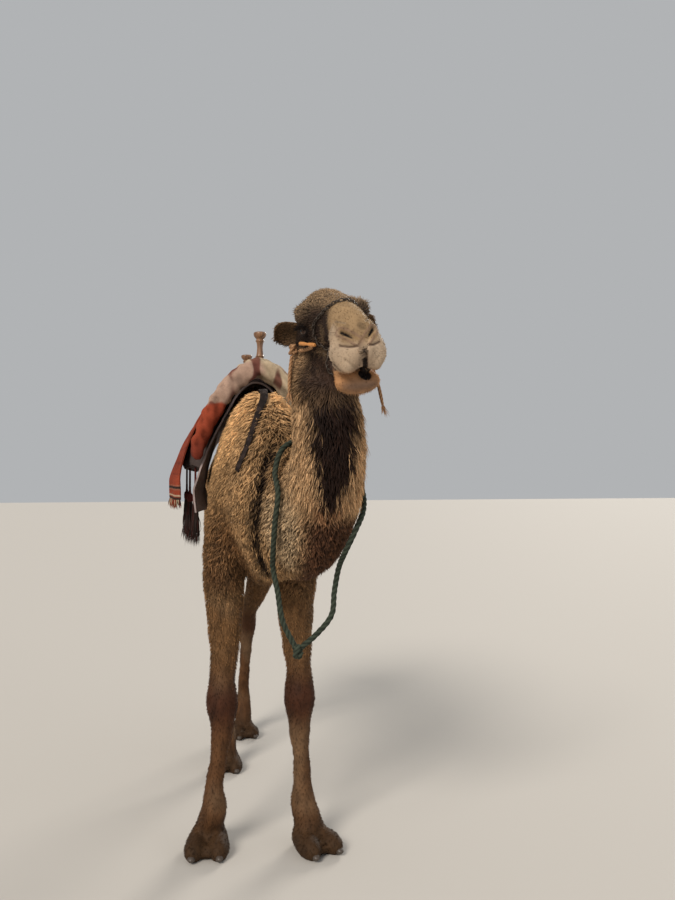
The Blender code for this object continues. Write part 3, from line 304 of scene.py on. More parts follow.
FEET = {  # middle of the sole, which way the toes point (degrees to the left), size
    "front_right": ((-0.215, 0.030), -8.0, 1.0),
    "front_left": ((0.205, -0.035), 20.0, 1.0),
    "hind_right": ((-0.065, 0.950), -5.0, 0.86),
    "hind_left": ((0.070, 1.470), 6.0, 0.86),
}
LEGS = {
    "front_right": front_leg(-1, -0.160, -0.192, FEET["front_right"][0]),
    "front_left": front_leg(1, 0.158, 0.172, FEET["front_left"][0]),
    "hind_right": hind_leg(-1, 1.150, FEET["hind_right"][0]),
    "hind_left": hind_leg(1, 1.450, FEET["hind_left"][0]),
}

# Head, along its own axes: left, forward, up, half-width, half-height.
SKULL = [
    (0.0, -0.130, -0.034, 0.086, 0.076),
    (0.0, -0.070, -0.016, 0.099, 0.092),
    (0.0, 0.000, -0.004, 0.092, 0.094),
    (0.0, 0.070, -0.006, 0.068, 0.094),
    (0.0, 0.150, -0.014, 0.056, 0.088),
    (0.0, 0.230, -0.032, 0.060, 0.080),
    (0.0, 0.290, -0.055, 0.068, 0.070),
    (0.0, 0.325, -0.070, 0.061, 0.056),
]
JAW = [
    (0.0, -0.090, -0.100, 0.080, 0.075),
    (0.0, 0.000, -0.115, 0.068, 0.062),
    (0.0, 0.110, -0.132, 0.054, 0.044),
    (0.0, 0.200, -0.150, 0.060, 0.038),
    (0.0, 0.270, -0.174, 0.067, 0.038),
]


def in_head_stations(rows):
    """Stations along the head's own axes, as stations of the model."""
    return [(*in_head(*row[:3]), *row[3:]) for row in rows]


def head_field(points):
    """Skull, jaw, brows, cheeks, nose and lips."""
    left = HEAD_AXES[0]

    def lump(at, radii):
        return ball(points, in_head(*at), radii, HEAD_AXES)

    value = oval_tube(points, in_head_stations(SKULL), left)
    value = merge(value, lump((-0.006, -0.080, 0.050), (0.064, 0.085, 0.050)), 0.05)
    value = merge(value, lump((0, 0.215, 0.010), (0.042, 0.090, 0.040)), 0.04)
    for side in (-1, 1):
        value = merge(value, lump((side * 0.092, -0.002, 0.026), (0.038, 0.056, 0.034)), 0.045)
        value = merge(value, lump((side * 0.062, -0.060, -0.075), (0.040, 0.090, 0.085)), 0.05)
        value = merge(value, lump((side * 0.046, 0.275, -0.032), (0.032, 0.044, 0.034)), 0.03)
    for side in (-1, 1):
        value = merge(value, lump((side * 0.044, 0.305, -0.084), (0.049, 0.052, 0.058)), 0.014)
    jaw = oval_tube(points, in_head_stations(JAW), left)
    jaw = merge(jaw, lump((0.0, 0.280, -0.182), (0.073, 0.048, 0.042)), 0.02)
    value = merge(value, jaw, 0.016)
    for side in (-1, 1):
        value = carve(value, lump((side * 0.140, 0.006, -0.024), (0.032, 0.038, 0.024)), 0.020)
    cleft = [(0.0, 0.366, -0.055, 0.007, 0.007), (0.0, 0.362, -0.130, 0.007, 0.007)]
    return carve(value, oval_tube(points, in_head_stations(cleft), left, between=1), 0.016)


def foot_axes(turn):
    """A foot's own left, forward and up directions, as rows; turn is in degrees to the left."""
    turn = math.radians(turn)
    return np.array([(math.cos(turn), math.sin(turn), 0), (math.sin(turn), -math.cos(turn), 0),
                     (0, 0, 1)])


def toes(foot):
    """Where the middle of each toe is on the floor, and the toe's own axes."""
    (x, y), turn, size = foot
    aside, ahead, _ = foot_axes(turn)
    for side in (-1, 1):
        toe = np.array([x, y, 0.0]) + size * (side * 0.044 * aside + 0.034 * ahead)
        spread = math.radians(side * 7.0)
        toe_ahead = math.cos(spread) * ahead + math.sin(spread) * aside
        toe_aside = math.cos(spread) * aside - math.sin(spread) * ahead
        yield toe, np.array([toe_aside, toe_ahead, (0.0, 0.0, 1.0)])


def foot_field(points, foot):
    """Two broad toes side by side and the pad behind them; the floor cuts the sole flat."""
    (x, y), turn, size = foot
    axes = foot_axes(turn)
    heel = np.array([x, y, size * 0.040]) - 0.028 * axes[1]
    value = ball(points, heel, size * np.array([0.078, 0.072, 0.062]), axes)
    for toe, toe_axes in toes(foot):
        radii = size * np.array([0.047, 0.098, 0.052])
        value = merge(value, ball(points, toe + (0, 0, size * 0.030), radii, toe_axes), 0.012)
    return value


def flesh(points):
    """The whole animal's field: negative inside, zero on the outline of the coat."""
    value = oval_tube(points, trunk_stations(), keel=0.20, ridge=0.48)
    value = merge(value, ball(points, *HUMP), 0.10)
    value = merge(value, oval_tube(points, NECK), 0.09)
    for name, stations in LEGS.items():
        leg = oval_tube(points, stations)
        leg = merge(leg, foot_field(points, FEET[name]), 0.030)
        value = merge(value, leg, 0.055)
    value = merge(value, oval_tube(points, TAIL), 0.035)
    return merge(value, head_field(points), 0.045)

# %% Places on the field
def slope(field, points, step=0.0008):
    """The field's value and its gradient at each point, from forward differences."""
    value = field(points)
    moves = np.eye(3) * step
    return value, np.column_stack([(field(points + m) - value) / step for m in moves])


def pulled_to(field, points, level=0.0, rounds=4, most=0.03):
    """Points moved along the gradient until the field has that level."""
    for _ in range(rounds):
        value, gradient = slope(field, points)
        steep = np.maximum((gradient**2).sum(1), 0.05)
        move = (level - value) / steep
        shift = gradient * move[:, None]
        length = np.linalg.norm(shift, axis=1)
        points = points + shift * np.minimum(1, most / np.maximum(length, 1e-9))[:, None]
    return points


def reached(field, origins, directions, gap, far=0.9, steps=160):
    """For each ray, the furthest point along it where the field is still below gap."""
    origins = np.broadcast_to(np.array(origins, float), directions.shape)
    t = np.linspace(0, far, steps)
    points = origins[:, None] + directions[:, None] * t[None, :, None]
    inside = field(points.reshape(-1, 3)).reshape(len(directions), steps) < gap
    last = steps - 1 - np.argmax(inside[:, ::-1], axis=1)
    low, high = t[last], t[np.minimum(last + 1, steps - 1)]
    for _ in range(12):
        middle = (low + high) / 2
        under = field(origins + directions * middle[:, None]) < gap
        low, high = np.where(under, middle, low), np.where(under, high, middle)
    return origins + directions * ((low + high) / 2)[:, None]


def outward(points):
    """Unit directions straight out of the flesh at the points."""
    gradient = slope(flesh, points)[1]
    return unit(gradient)


def on_flesh(rows, gap):
    """Points given in the head's frame, moved on to the coat."""
    points = in_head_rows(rows)
    return pulled_to(flesh, points, level=gap, rounds=8, most=0.02)


def pulled_clear(points, gap):
    """Points moved away from the coat where they are nearer to it than gap."""
    clear = pulled_to(flesh, points, level=gap, rounds=6)
    return np.where((flesh(points) < gap)[:, None], clear, points)



# %% [markdown]
# The field is written with its origin midway between the front feet. The frame's origin is under
# the middle of the whole object, so an eye, which both of them have, gives the step between them.

# %% The step from field to frame
EYE_PLACES = {"left": in_head(0.098, 0.006, -0.024), "right": in_head(-0.098, 0.006, -0.024)}
OFFSET = (np.array(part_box("eye_left")[0]) + np.array(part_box("eye_left")[1])) / 2
OFFSET = OFFSET - EYE_PLACES["left"]
print("from the field to the frame:", OFFSET.round(4))

# %% [markdown]
# ## Camera
# The camera stands low in front of the camel and a little to its right, about as far away as a
# person who is led towards it, and looks almost level, so that the head meets the horizon.

# %% Camera
camera = bpy.data.objects.new("camera", bpy.data.cameras.new("camera"))
bpy.context.scene.collection.objects.link(camera)
bpy.context.scene.camera = camera
camera.data.sensor_width = 36.0
camera.data.lens = 33.04
camera.location = Vector(np.array([-0.406, -3.389, 1.530]) + OFFSET)
look = Vector((0.208, 0.978, math.tan(math.radians(1.53))))
camera.rotation_euler = look.to_track_quat("-Z", "Y").to_euler()
print("camera at", [round(v, 3) for v in camera.location])

# %% [markdown]
# ## Making meshes from arrays
# Every surface below is a grid of points worked out with numpy. These helpers turn the arrays
# into meshes in one go, close grids into tubes and shells, and carry a profile along a path.

# %% Arrays to meshes
RNG = np.random.default_rng(7)


def signed_volume(points, triangles):
    """Six times the volume that the triangles close in, below zero when they face inwards."""
    a, b, c = (points[triangles[:, k]] for k in range(3))
    a, b, c = a - points[0], b - points[0], c - points[0]
    return float(np.einsum("ij,ij->i", a, np.cross(b, c)).sum())


def as_triangles(faces):
    """Quads cut along a diagonal; triangles as they are."""
    if faces.shape[1] == 3:
        return faces
    return np.concatenate([faces[:, [0, 1, 2]], faces[:, [0, 2, 3]]])


def new_mesh(name, points, groups, outwards=True):
    """A mesh from an array of points and arrays of faces with three or four corners each.

    A closed surface that faces inwards is turned round as a whole.
    """
    points = np.asarray(points, float).reshape(-1, 3)
    groups = [np.asarray(g) for g in groups if len(g)]
    if outwards:
        triangles = np.concatenate([as_triangles(g) for g in groups])
        if signed_volume(points, triangles) < 0:
            groups = [g[:, ::-1] for g in groups]
    mesh = bpy.data.meshes.new(name)
    mesh.vertices.add(len(points))
    mesh.vertices.foreach_set("co", (points + OFFSET).astype(np.float32).ravel())
    loops = np.concatenate([g.ravel() for g in groups]).astype(np.int32)
    sizes = np.concatenate([np.full(len(g), g.shape[1]) for g in groups])
    mesh.loops.add(len(loops))
    mesh.loops.foreach_set("vertex_index", loops)
    mesh.polygons.add(len(sizes))
    starts = np.concatenate([[0], np.cumsum(sizes)[:-1]]).astype(np.int32)
    mesh.polygons.foreach_set("loop_start", starts)
    mesh.update(calc_edges=True)
    mesh.validate()
    return mesh


def add_piece(name, mesh, material, slot=None, replaces=(), smooth=True, sharp=40):
    """The mesh as an object that rides with the model, in the given material; the slot is not
    used.
    """
    made = bpy.data.objects.new(name, mesh)
    bpy.context.scene.collection.objects.link(made)
    mesh.materials.append(material)
    if smooth:
        mesh.shade_smooth()
        mesh.set_sharp_from_angle(angle=math.radians(sharp))
    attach(made, "root")
    if replaces:
        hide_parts(*replaces)
    return made


def paint(mesh, name, colours):
    """A colour for each vertex, kept in the mesh under a name that materials read."""
    layer = mesh.color_attributes.new(name=name, type="FLOAT_COLOR", domain="POINT")
    rgba = np.column_stack([colours, np.ones(len(colours))]).astype(np.float32)
    layer.data.foreach_set("color", rgba.ravel())


def unwrapped(mesh, name, places):
    """A UV map from one flat place for each vertex."""
    layer = mesh.uv_layers.new(name=name)
    corner = np.empty(len(mesh.loops), np.int32)
    mesh.loops.foreach_get("vertex_index", corner)
    layer.data.foreach_set("uv", np.asarray(places)[corner].astype(np.float32).ravel())


def full_turn(sides):
    """So many angles evenly round a circle."""
    return np.arange(sides) * 2 * math.pi / sides


def flat_grid(across, along):
    """The flat place of every point of a cloth's grid, row after row."""
    return np.stack(np.broadcast_arrays(across[None, :], along[:, None]), axis=-1).reshape(-1, 2)


def grid_faces(rows, columns, start=0, around=False, ring=False):
    """Quads of a grid of rows times columns; around closes the columns, ring the rows."""
    i = np.arange(rows if ring else rows - 1)[:, None]
    j = np.arange(columns if around else columns - 1)[None, :]
    here, there = i * columns, (i + 1) % rows * columns
    k = (j + 1) % columns
    quads = np.stack([here + j, here + k, there + k, there + j], axis=-1)
    return quads.reshape(-1, 4) + start


def closed_tube(grid):
    """Points and faces of a tube whose two ends are closed by fans round their middles."""
    rings, sides = grid.shape[:2]
    points = np.vstack([grid.reshape(-1, 3), grid[0].mean(0), grid[-1].mean(0)])
    j = np.arange(sides)
    k = (j + 1) % sides
    first = np.stack([k, j, np.full(sides, rings * sides)], axis=1)
    last = (rings - 1) * sides
    final = np.stack([last + j, last + k, np.full(sides, rings * sides + 1)], axis=1)
    return points, [grid_faces(rings, sides, around=True), first, final]


def closed_shell(outer, inner):
    """Points and faces of a sheet between two grids, its four edges closed."""
    rows, columns = outer.shape[:2]
    count = rows * columns
    points = np.vstack([outer.reshape(-1, 3), inner.reshape(-1, 3)])
    top = grid_faces(rows, columns)
    bottom = grid_faces(rows, columns, start=count)[:, ::-1]
    cell = np.arange(count).reshape(rows, columns)
    rim = np.concatenate([cell[0], cell[1:, -1], cell[-1, -2::-1], cell[-2:0:-1, 0]])
    after = np.roll(rim, -1)
    edge = np.stack([after, rim, rim + count, after + count], axis=1)
    return points, [top, bottom, edge]


def grid_normals(grid):
    """Unit directions square to a grid, from the cross product of its two slopes."""
    return unit(np.cross(np.gradient(grid, axis=0), np.gradient(grid, axis=1)))


def run_of(line):
    """How far along the line each of its points is: the running sum of its steps' lengths."""
    return np.concatenate([[0], np.cumsum(np.linalg.norm(np.diff(line, axis=0), axis=1))])


def evenly(line, count):
    """The line again, with count points the same distance apart along it."""
    along = run_of(line)
    wanted = np.linspace(0, along[-1], count)
    return np.column_stack([np.interp(wanted, along, line[:, k]) for k in range(3)])


def length_of(line):
    """A line's length: the sum of its steps."""
    return float(np.linalg.norm(np.diff(line, axis=0), axis=1).sum())


def frames_along(line, first=(0.31, 0.87, 0.38), ring=False):
    """At each point of a path, the way ahead and two directions square to it.

    Each frame is the one before it, turned only as much as the path turns.
    """
    if ring:
        ahead = np.roll(line, -1, axis=0) - np.roll(line, 1, axis=0)
    else:
        ahead = np.gradient(line, axis=0)
    ahead = unit(ahead)
    up = np.array(first, float)
    ups = []
    for direction in ahead:
        up = unit(up - (up @ direction) * direction)
        ups.append(up)
    ups = np.array(ups)
    return ahead, ups, np.cross(ahead, ups)


def swept(line, radius, sides=12, first=(0.31, 0.87, 0.38), turn=None, lobes=0, dent=0.0):
    """A round section carried along a path: radius may change along it.

    With lobes, the section has that many strands, their valleys dented by a share of the radius,
    and turn gives how far they have twisted at each point.
    """
    _, up, aside = frames_along(line, first)
    angle = full_turn(sides)
    radius = np.broadcast_to(np.asarray(radius, float), (len(line),))[:, None]
    if lobes:
        shape = np.abs(np.cos(lobes / 2 * (angle[None, :] - turn[:, None])))
        radius = radius * (1 - dent + dent * shape**0.8)
    return (
        line[:, None]
        + (np.cos(angle) * radius)[:, :, None] * up[:, None]
        + (np.sin(angle) * radius)[:, :, None] * aside[:, None]
    )


# %% [markdown]
# ## Materials
# Cloth, rope, leather and wood share a few effects, so each effect is a node group with named
# inputs. "Mottle" breaks up a colour in broad clouds and fine specks, as age and dust do, and
# gives a height for bump. "Weave" crosses two sets of threads on a UV map kept in metres.

# %% Node helpers
def group_of(name, inputs, outputs):
    """An empty shader node group with named inputs and outputs, and its two end nodes."""
    tree = bpy.data.node_groups.new(name, "ShaderNodeTree")
    for label, kind, value in inputs:
        socket = tree.interface.new_socket(label, in_out="INPUT", socket_type=kind)
        if value is not None:
            socket.default_value = value
    for label, kind in outputs:
        tree.interface.new_socket(label, in_out="OUTPUT", socket_type=kind)
    return tree, tree.nodes.new("NodeGroupInput"), tree.nodes.new("NodeGroupOutput")


def node(tree, kind, values=None, **settings):
    """A node with some of its settings and input values set."""
    made = tree.nodes.new(kind)
    for key, value in settings.items():
        setattr(made, key, value)
    for key, value in (values or {}).items():
        made.inputs[key].default_value = value
    return made


def math_node(tree, operation, first, second=None, third=None):
    """A Math node on sockets or plain numbers; gives its output."""
    made = node(tree, "ShaderNodeMath", operation=operation)
    for socket, value in zip(made.inputs, (first, second, third)):
        if isinstance(value, bpy.types.NodeSocket):
            tree.links.new(value, socket)
        elif value is not None:
            socket.default_value = value
    return made.outputs[0]


def mixed(tree, factor, first, second, blend="MIX"):
    """A colour Mix node on sockets or colours; gives its output."""
    made = node(tree, "ShaderNodeMix", data_type="RGBA", blend_type=blend)
    for number, value in ((0, factor), (6, first), (7, second)):
        socket = made.inputs[number]
        if isinstance(value, bpy.types.NodeSocket):
            tree.links.new(value, socket)
        else:
            socket.default_value = value if isinstance(value, float) else (*value[:3], 1.0)
    return made.outputs[2]


FLOAT, COLOR = "NodeSocketFloat", "NodeSocketColor"


# %% Shared effects
def mottle_group():
    """Colour times a cloud of noise, and finer noise as height."""
    tree, given, out = group_of(
        "Mottle",
        [("Color", COLOR, (0.5, 0.5, 0.5, 1)), ("Scale", FLOAT, 9.0), ("Amount", FLOAT, 0.35),
         ("Fine Scale", FLOAT, 160.0), ("Fine Amount", FLOAT, 0.25)],
        [("Color", COLOR), ("Height", FLOAT)],
    )
    place = node(tree, "ShaderNodeTexCoord").outputs["Object"]
    clouds = node(tree, "ShaderNodeTexNoise", {"Detail": 4.0, "Roughness": 0.6})
    fine = node(tree, "ShaderNodeTexNoise", {"Detail": 3.0, "Roughness": 0.6})
    for texture, scale in ((clouds, "Scale"), (fine, "Fine Scale")):
        tree.links.new(place, texture.inputs["Vector"])
        tree.links.new(given.outputs[scale], texture.inputs["Scale"])
    value = 1.0
    for texture, amount in ((clouds, "Amount"), (fine, "Fine Amount")):
        swing = math_node(tree, "MULTIPLY_ADD", texture.outputs["Fac"], 2.0, -1.0)
        part = math_node(tree, "MULTIPLY", swing, given.outputs[amount])
        value = math_node(tree, "ADD", part, value)
    bright = node(tree, "ShaderNodeCombineColor")
    for socket in bright.inputs:
        tree.links.new(value, socket)
    colour = mixed(tree, 1.0, given.outputs["Color"], bright.outputs[0], "MULTIPLY")
    tree.links.new(colour, out.inputs["Color"])
    tree.links.new(fine.outputs["Fac"], out.inputs["Height"])
    return tree


def weave_group():
    """Two sets of rounded threads across each other on the cloth's own UV map, in metres."""
    tree, given, out = group_of(
        "Weave", [("Threads per Metre", FLOAT, 450.0)], [("Height", FLOAT), ("Shade", FLOAT)]
    )
    cloth = node(tree, "ShaderNodeUVMap", uv_map="cloth").outputs[0]
    split = node(tree, "ShaderNodeSeparateXYZ")
    tree.links.new(cloth, split.inputs[0])
    waves = []
    for axis in (0, 1):
        phase = math_node(tree, "MULTIPLY", split.outputs[axis], given.outputs[0])
        phase = math_node(tree, "MULTIPLY", phase, 2 * math.pi)
        waves.append(math_node(tree, "SINE", phase))
    crossed = math_node(tree, "MULTIPLY", waves[0], waves[1])
    height = math_node(tree, "MULTIPLY_ADD", crossed, 0.5, 0.5)
    tree.links.new(height, out.inputs["Height"])
    shade = math_node(tree, "MULTIPLY_ADD", height, 0.35, 0.75)
    tree.links.new(shade, out.inputs["Shade"])
    return tree


MOTTLE, WEAVE = mottle_group(), weave_group()


# %% A material in one call
def material_of(name, roughness=0.8, shine=0.5, metallic=0.0, coat=0.0):
    """A Principled BSDF with plain settings, and its tree, ready for a pattern."""
    made = bpy.data.materials.new(name)
    made.use_nodes = True
    shader = made.node_tree.nodes["Principled BSDF"]
    shader.inputs["Roughness"].default_value = roughness
    shader.inputs["Specular IOR Level"].default_value = shine
    shader.inputs["Metallic"].default_value = metallic
    shader.inputs["Coat Weight"].default_value = coat
    return made, made.node_tree, shader


def mottled(tree, colour, scale=9.0, amount=0.35, fine_scale=160.0, fine_amount=0.25):
    """A Mottle group in a tree, fed by a socket or a plain colour."""
    made = node(tree, "ShaderNodeGroup", node_tree=MOTTLE)
    values = {"Scale": scale, "Amount": amount, "Fine Scale": fine_scale}
    for key, value in {**values, "Fine Amount": fine_amount}.items():
        made.inputs[key].default_value = value
    if isinstance(colour, bpy.types.NodeSocket):
        tree.links.new(colour, made.inputs["Color"])
    else:
        made.inputs["Color"].default_value = (*colour, 1.0)
    return made


def bumped(tree, shader, height, distance):
    """A bump of the given height in metres on the shader's normal."""
    made = node(tree, "ShaderNodeBump", {"Distance": distance, "Strength": 1.0})
    tree.links.new(height, made.inputs["Height"])
    tree.links.new(made.outputs[0], shader.inputs["Normal"])


def attribute_colour(tree, name):
    """The colours painted on the mesh under a name."""
    return node(tree, "ShaderNodeAttribute", attribute_name=name).outputs["Color"]


def coat_material(name, roughness, fine_scale, height):
    """Hair or hide in the colours and painted shade on the mesh, broken up by clouds and specks.
    """
    made, tree, shader = material_of(name, roughness, shine=0.18)
    colour = mottled(tree, attribute_colour(tree, "markings_and_shade"), 14.0, 0.22, fine_scale, 0.30)
    tree.links.new(colour.outputs["Color"], shader.inputs["Base Color"])
    bumped(tree, shader, colour.outputs["Height"], height)
    return made


def cloth_material(name, threads, height):
    """Woven cloth in the dyes and painted shade on the mesh, so many threads to the metre."""
    made, tree, shader = material_of(name, 0.92, shine=0.12)
    dyed_and_shaded = mottled(tree, attribute_colour(tree, "dye_and_shade"), 11.0, 0.30, 90.0, 0.22)
    weave = node(tree, "ShaderNodeGroup", node_tree=WEAVE)
    weave.inputs[0].default_value = threads
    grey = node(tree, "ShaderNodeCombineColor")
    for socket in grey.inputs:
        tree.links.new(weave.outputs["Shade"], socket)
    colour = mixed(tree, 1.0, dyed_and_shaded.outputs["Color"], grey.outputs[0], "MULTIPLY")
    tree.links.new(colour, shader.inputs["Base Color"])
    both = math_node(tree, "ADD", weave.outputs["Height"], dyed_and_shaded.outputs["Height"])
    bumped(tree, shader, both, height)
    return made


def plain_material(name, colour, roughness, scale, amount, height, metallic=0.0):
    """One colour with age in it, and a fine relief."""
    made, tree, shader = material_of(name, roughness, metallic=metallic)
    colour = mottled(tree, colour, scale, amount, 220.0, 0.3)
    tree.links.new(colour.outputs["Color"], shader.inputs["Base Color"])
    bumped(tree, shader, colour.outputs["Height"], height)
    return made


HIDE = coat_material("hide with short hair", 0.72, 420.0, 0.0012)
HAIR = coat_material("locks of hair", 0.70, 300.0, 0.0003)
RUG_CLOTH = cloth_material("woven rug", 330.0, 0.0010)
ROLL_CLOTH = cloth_material("cotton cover", 600.0, 0.0006)
FELT_CLOTH = cloth_material("grey felt", 900.0, 0.0005)
PAD_CLOTH = cloth_material("sacking", 260.0, 0.0012)
WEBBING = cloth_material("black webbing", 420.0, 0.0007)
ROPE = coat_material("twisted rope", 0.9, 600.0, 0.0008)
IRON = plain_material("dark iron", (0.075, 0.058, 0.046), 0.5, 60.0, 0.6, 0.0003, metallic=0.7)
TOGGLE_HORN = plain_material("orange toggle", (0.52, 0.215, 0.055), 0.6, 40.0, 0.4, 0.0004)
NAIL = plain_material("toenail horn", (0.055, 0.040, 0.030), 0.45, 70.0, 0.35, 0.0005)


def wood_material():
    """Turned wood: rings stretched along the post, a worn polish on top."""
    made, tree, shader = material_of("old wood", 0.48, coat=0.15)
    place = node(tree, "ShaderNodeTexCoord").outputs["Object"]
    turn = node(tree, "ShaderNodeMapping")
    turn.inputs["Scale"].default_value = (60.0, 60.0, 7.0)
    tree.links.new(place, turn.inputs["Vector"])
    grain = node(tree, "ShaderNodeTexNoise", {"Scale": 1.0, "Detail": 5.0, "Distortion": 1.2})
    tree.links.new(turn.outputs[0], grain.inputs["Vector"])
    ramp_node = node(tree, "ShaderNodeValToRGB")
    ends = ramp_node.color_ramp.elements
    ends[0].position, ends[0].color = 0.3, (0.055, 0.022, 0.010, 1)
    ends[1].position, ends[1].color = 0.72, (0.30, 0.15, 0.07, 1)
    tree.links.new(grain.outputs["Fac"], ramp_node.inputs[0])
    colour = mottled(tree, ramp_node.outputs[0], 25.0, 0.3, 300.0, 0.2)
    tree.links.new(colour.outputs["Color"], shader.inputs["Base Color"])
    bumped(tree, shader, grain.outputs["Fac"], 0.0008)
    return made


WOOD = wood_material()
print(len(bpy.data.materials), "materials made")

# %% [markdown]
# ## Cords
# The cords come before the coat, so that their room is known. The neck rope is a hard-laid green
# cord that goes once round the base of the neck, and its loop hangs below the chest to a knot.
# The halter's rope ends hang limp from the knots at the cheeks. Each is one lobed tube: a round
# section with three strands whose valleys turn as it goes along.

# %% Rope as a lobed tube
ROPE_SIDES = 15  # points round a rope, five to each strand


def rope_piece(name, line, diameter, colours, slot, replaces, lay=3.4, step=0.0035, fray=0.0):
    """A three-strand rope on a path; lay is how many diameters a strand takes to go round.

    The radius is that of the cord, dented by a quarter in the valleys between its strands.
    Of the two colours, the first is painted shade in those valleys, the second the colour of the
    crests.
    """
    line = evenly(np.array(line), max(12, round(length_of(np.array(line)) / step)))
    along = run_of(line)
    turn = along / (lay * diameter) * 2 * math.pi
    radius = np.full(len(line), diameter / 2)
    radius[0] *= 0.55
    radius[-1] *= 0.55
    if fray:
        loose = np.clip((along - along[-1] + fray) / fray, 0, 1)
        radius = radius * (1 - 0.25 * loose)
    grid = swept(line, radius, ROPE_SIDES, turn=turn, lobes=3, dent=0.26)
    points, groups = closed_tube(grid)
    mesh = new_mesh(name, points, groups)
    # The valleys between the strands, and the end caps, get the first colour: painted shade.
    dark, light = (np.array(c) for c in colours)
    depth = np.linalg.norm(grid - line[:, None], axis=2) / radius[:, None]
    share = np.clip((depth - 0.74) / 0.26, 0, 1).reshape(-1)[:, None]
    age = 0.85 + 0.3 * RNG.random((len(line), 1, 1))
    tone = (dark + (light - dark) * share).reshape(len(line), ROPE_SIDES, 3) * age
    paint(mesh, "markings_and_shade", np.vstack([tone.reshape(-1, 3), dark, dark]))
    made = add_piece(name, mesh, ROPE, slot, replaces)
    return made, line


def strands(name, roots, directions, length, width, colours, material, droop=0.0, parts=4):
    """Loose yarns as thin three-sided tapered locks from their roots, for fringes and tassels.

    A yarn goes straight on from its root and bends down by droop times the square of its share.
    """
    count = len(roots)
    s = np.linspace(0, 1, parts + 1)[None, :, None]
    wave = RNG.normal(0, 0.035, (count, 1, 3)) * np.sin(s * 2.6 * math.pi)
    length = np.broadcast_to(np.asarray(length, float), (count,))[:, None, None]
    line = roots[:, None] + (directions[:, None] * s + wave * s) * length
    line[:, :, 2] -= droop * (s[..., 0] ** 2) * length[..., 0]
    width = np.broadcast_to(np.asarray(width, float), (count,))
    points, groups = lock_mesh(line, np.array([0.3, -0.9, 0.2]), width, blunt=0.6)
    mesh = new_mesh(name, points, groups)
    per = len(points) // count
    paint(mesh, "markings_and_shade", np.repeat(colours, per, axis=0))
    return add_piece(name, mesh, material)


def lock_mesh(line, out, width, blunt=0.0):
    """Points and faces of locks: line is locks x stations x 3, out the way their ridge faces.

    Each lock is a three-sided tube that swells a little past its root and closes in a point, or
    in a blunt end. Its flat side lies on what is under it and its ridge looks out.
    """
    count, stations = line.shape[:2]
    ahead = unit(np.gradient(line, axis=1))
    out = np.broadcast_to(np.asarray(out, float).reshape(-1, 1, 3), ahead.shape)
    aside = unit(np.cross(ahead, out))
    ridge = np.cross(aside, ahead)
    s = np.linspace(0, 1, stations)
    swell = 0.62 + 0.38 * np.sin(math.pi * np.clip(s * 1.5, 0, 1))
    taper = np.clip((1 - s) / 0.45, 0, 1) ** 0.8
    shape = swell * (blunt + (1 - blunt) * taper)
    half = (width[:, None] * shape[None, :])[..., None] / 2
    corners = [line - aside * half, line + ridge * half * 0.9, line + aside * half]
    rings = np.stack(corners, axis=2)[:, :-1].reshape(count, -1, 3)
    points = np.concatenate([rings, line[:, -1:]], axis=1)
    per, last = points.shape[1], (stations - 2) * 3
    side = grid_faces(stations - 1, 3, around=True)
    tip = np.array([[last + j, last + (j + 1) % 3, per - 1] for j in range(3)])
    root = np.array([[2, 1, 0]])
    start = (np.arange(count) * per)[:, None, None]
    groups = [(faces[None] + start).reshape(-1, faces.shape[1]) for faces in (side, tip, root)]
    return points.reshape(-1, 3), groups


# %% Neck rope
ROPE_WIDTH = 0.013
NECK_ROPE_WIDTH = 0.021


def neck_rope_route():
    """The middle of the rope, from the knot up the right side, round, and down the left."""
    gap = NECK_ROPE_WIDTH / 2 + 0.006
    right = [(0.061, -0.473, 0.908), (0.017, -0.463, 1.000), (0.004, -0.425, 1.100)]
    left = [(0.205, -0.462, 1.100), (0.190, -0.485, 1.020), (0.135, -0.490, 0.955),
            (0.079, -0.477, 0.906)]
    upper = [(0.000, -0.400, 1.190), (0.003, -0.445, 1.257), (0.006, -0.495, 1.361),
             (0.018, -0.510, 1.450), (0.030, -0.450, 1.515), (0.060, -0.390, 1.565),
             (0.120, -0.360, 1.595), (0.190, -0.360, 1.590), (0.250, -0.400, 1.545),
             (0.280, -0.465, 1.470), (0.272, -0.530, 1.400), (0.240, -0.575, 1.330),
             (0.212, -0.550, 1.260), (0.205, -0.480, 1.200)]
    upper = pulled_to(flesh, np.array(upper), level=gap, rounds=8, most=0.03)
    route = np.vstack([right, upper, left])
    return smooth_path(route, between=8)


# The first colour is painted shade in the valleys between the strands, the second the green of
# the crests.
GREEN = ((0.008, 0.010, 0.007), (0.042, 0.052, 0.036))
neck_rope, neck_line = rope_piece(
    "neck_rope_cord", neck_rope_route(), NECK_ROPE_WIDTH, GREEN, "neck_rope", ["neck_rope"]
)
print("neck rope", round(length_of(neck_line), 3), "m long")


# %% [markdown]
# A knot is a short rope wound on itself. Its path is a trefoil: it goes twice round a ring while
# it weaves three times in and out, which makes a tight lump with crossings on every side.

# %% Knots
def knot_piece(name, centre, radii, width, colours, slot, replaces):
    """Rope wound on a trefoil path that is scaled to the knot's three half-sizes."""
    t = np.linspace(0, 2 * math.pi, 97)
    ring = 2 + np.cos(3 * t)
    path = np.column_stack([ring * np.cos(2 * t), ring * np.sin(2 * t), 1.6 * np.sin(3 * t)])
    path /= np.array([3.0, 3.0, 1.6])
    line = centre + path * (np.array(radii) - width / 2)
    made, _ = rope_piece(name, line, width, colours, slot, replaces)
    return made


KNOT_AT = np.array([0.069, -0.475, 0.893])
neck_knot = knot_piece("neck_rope_hitch", KNOT_AT, (0.021, 0.020, 0.027), 0.019, GREEN,
                       "neck_rope", ["neck_rope_knot"])

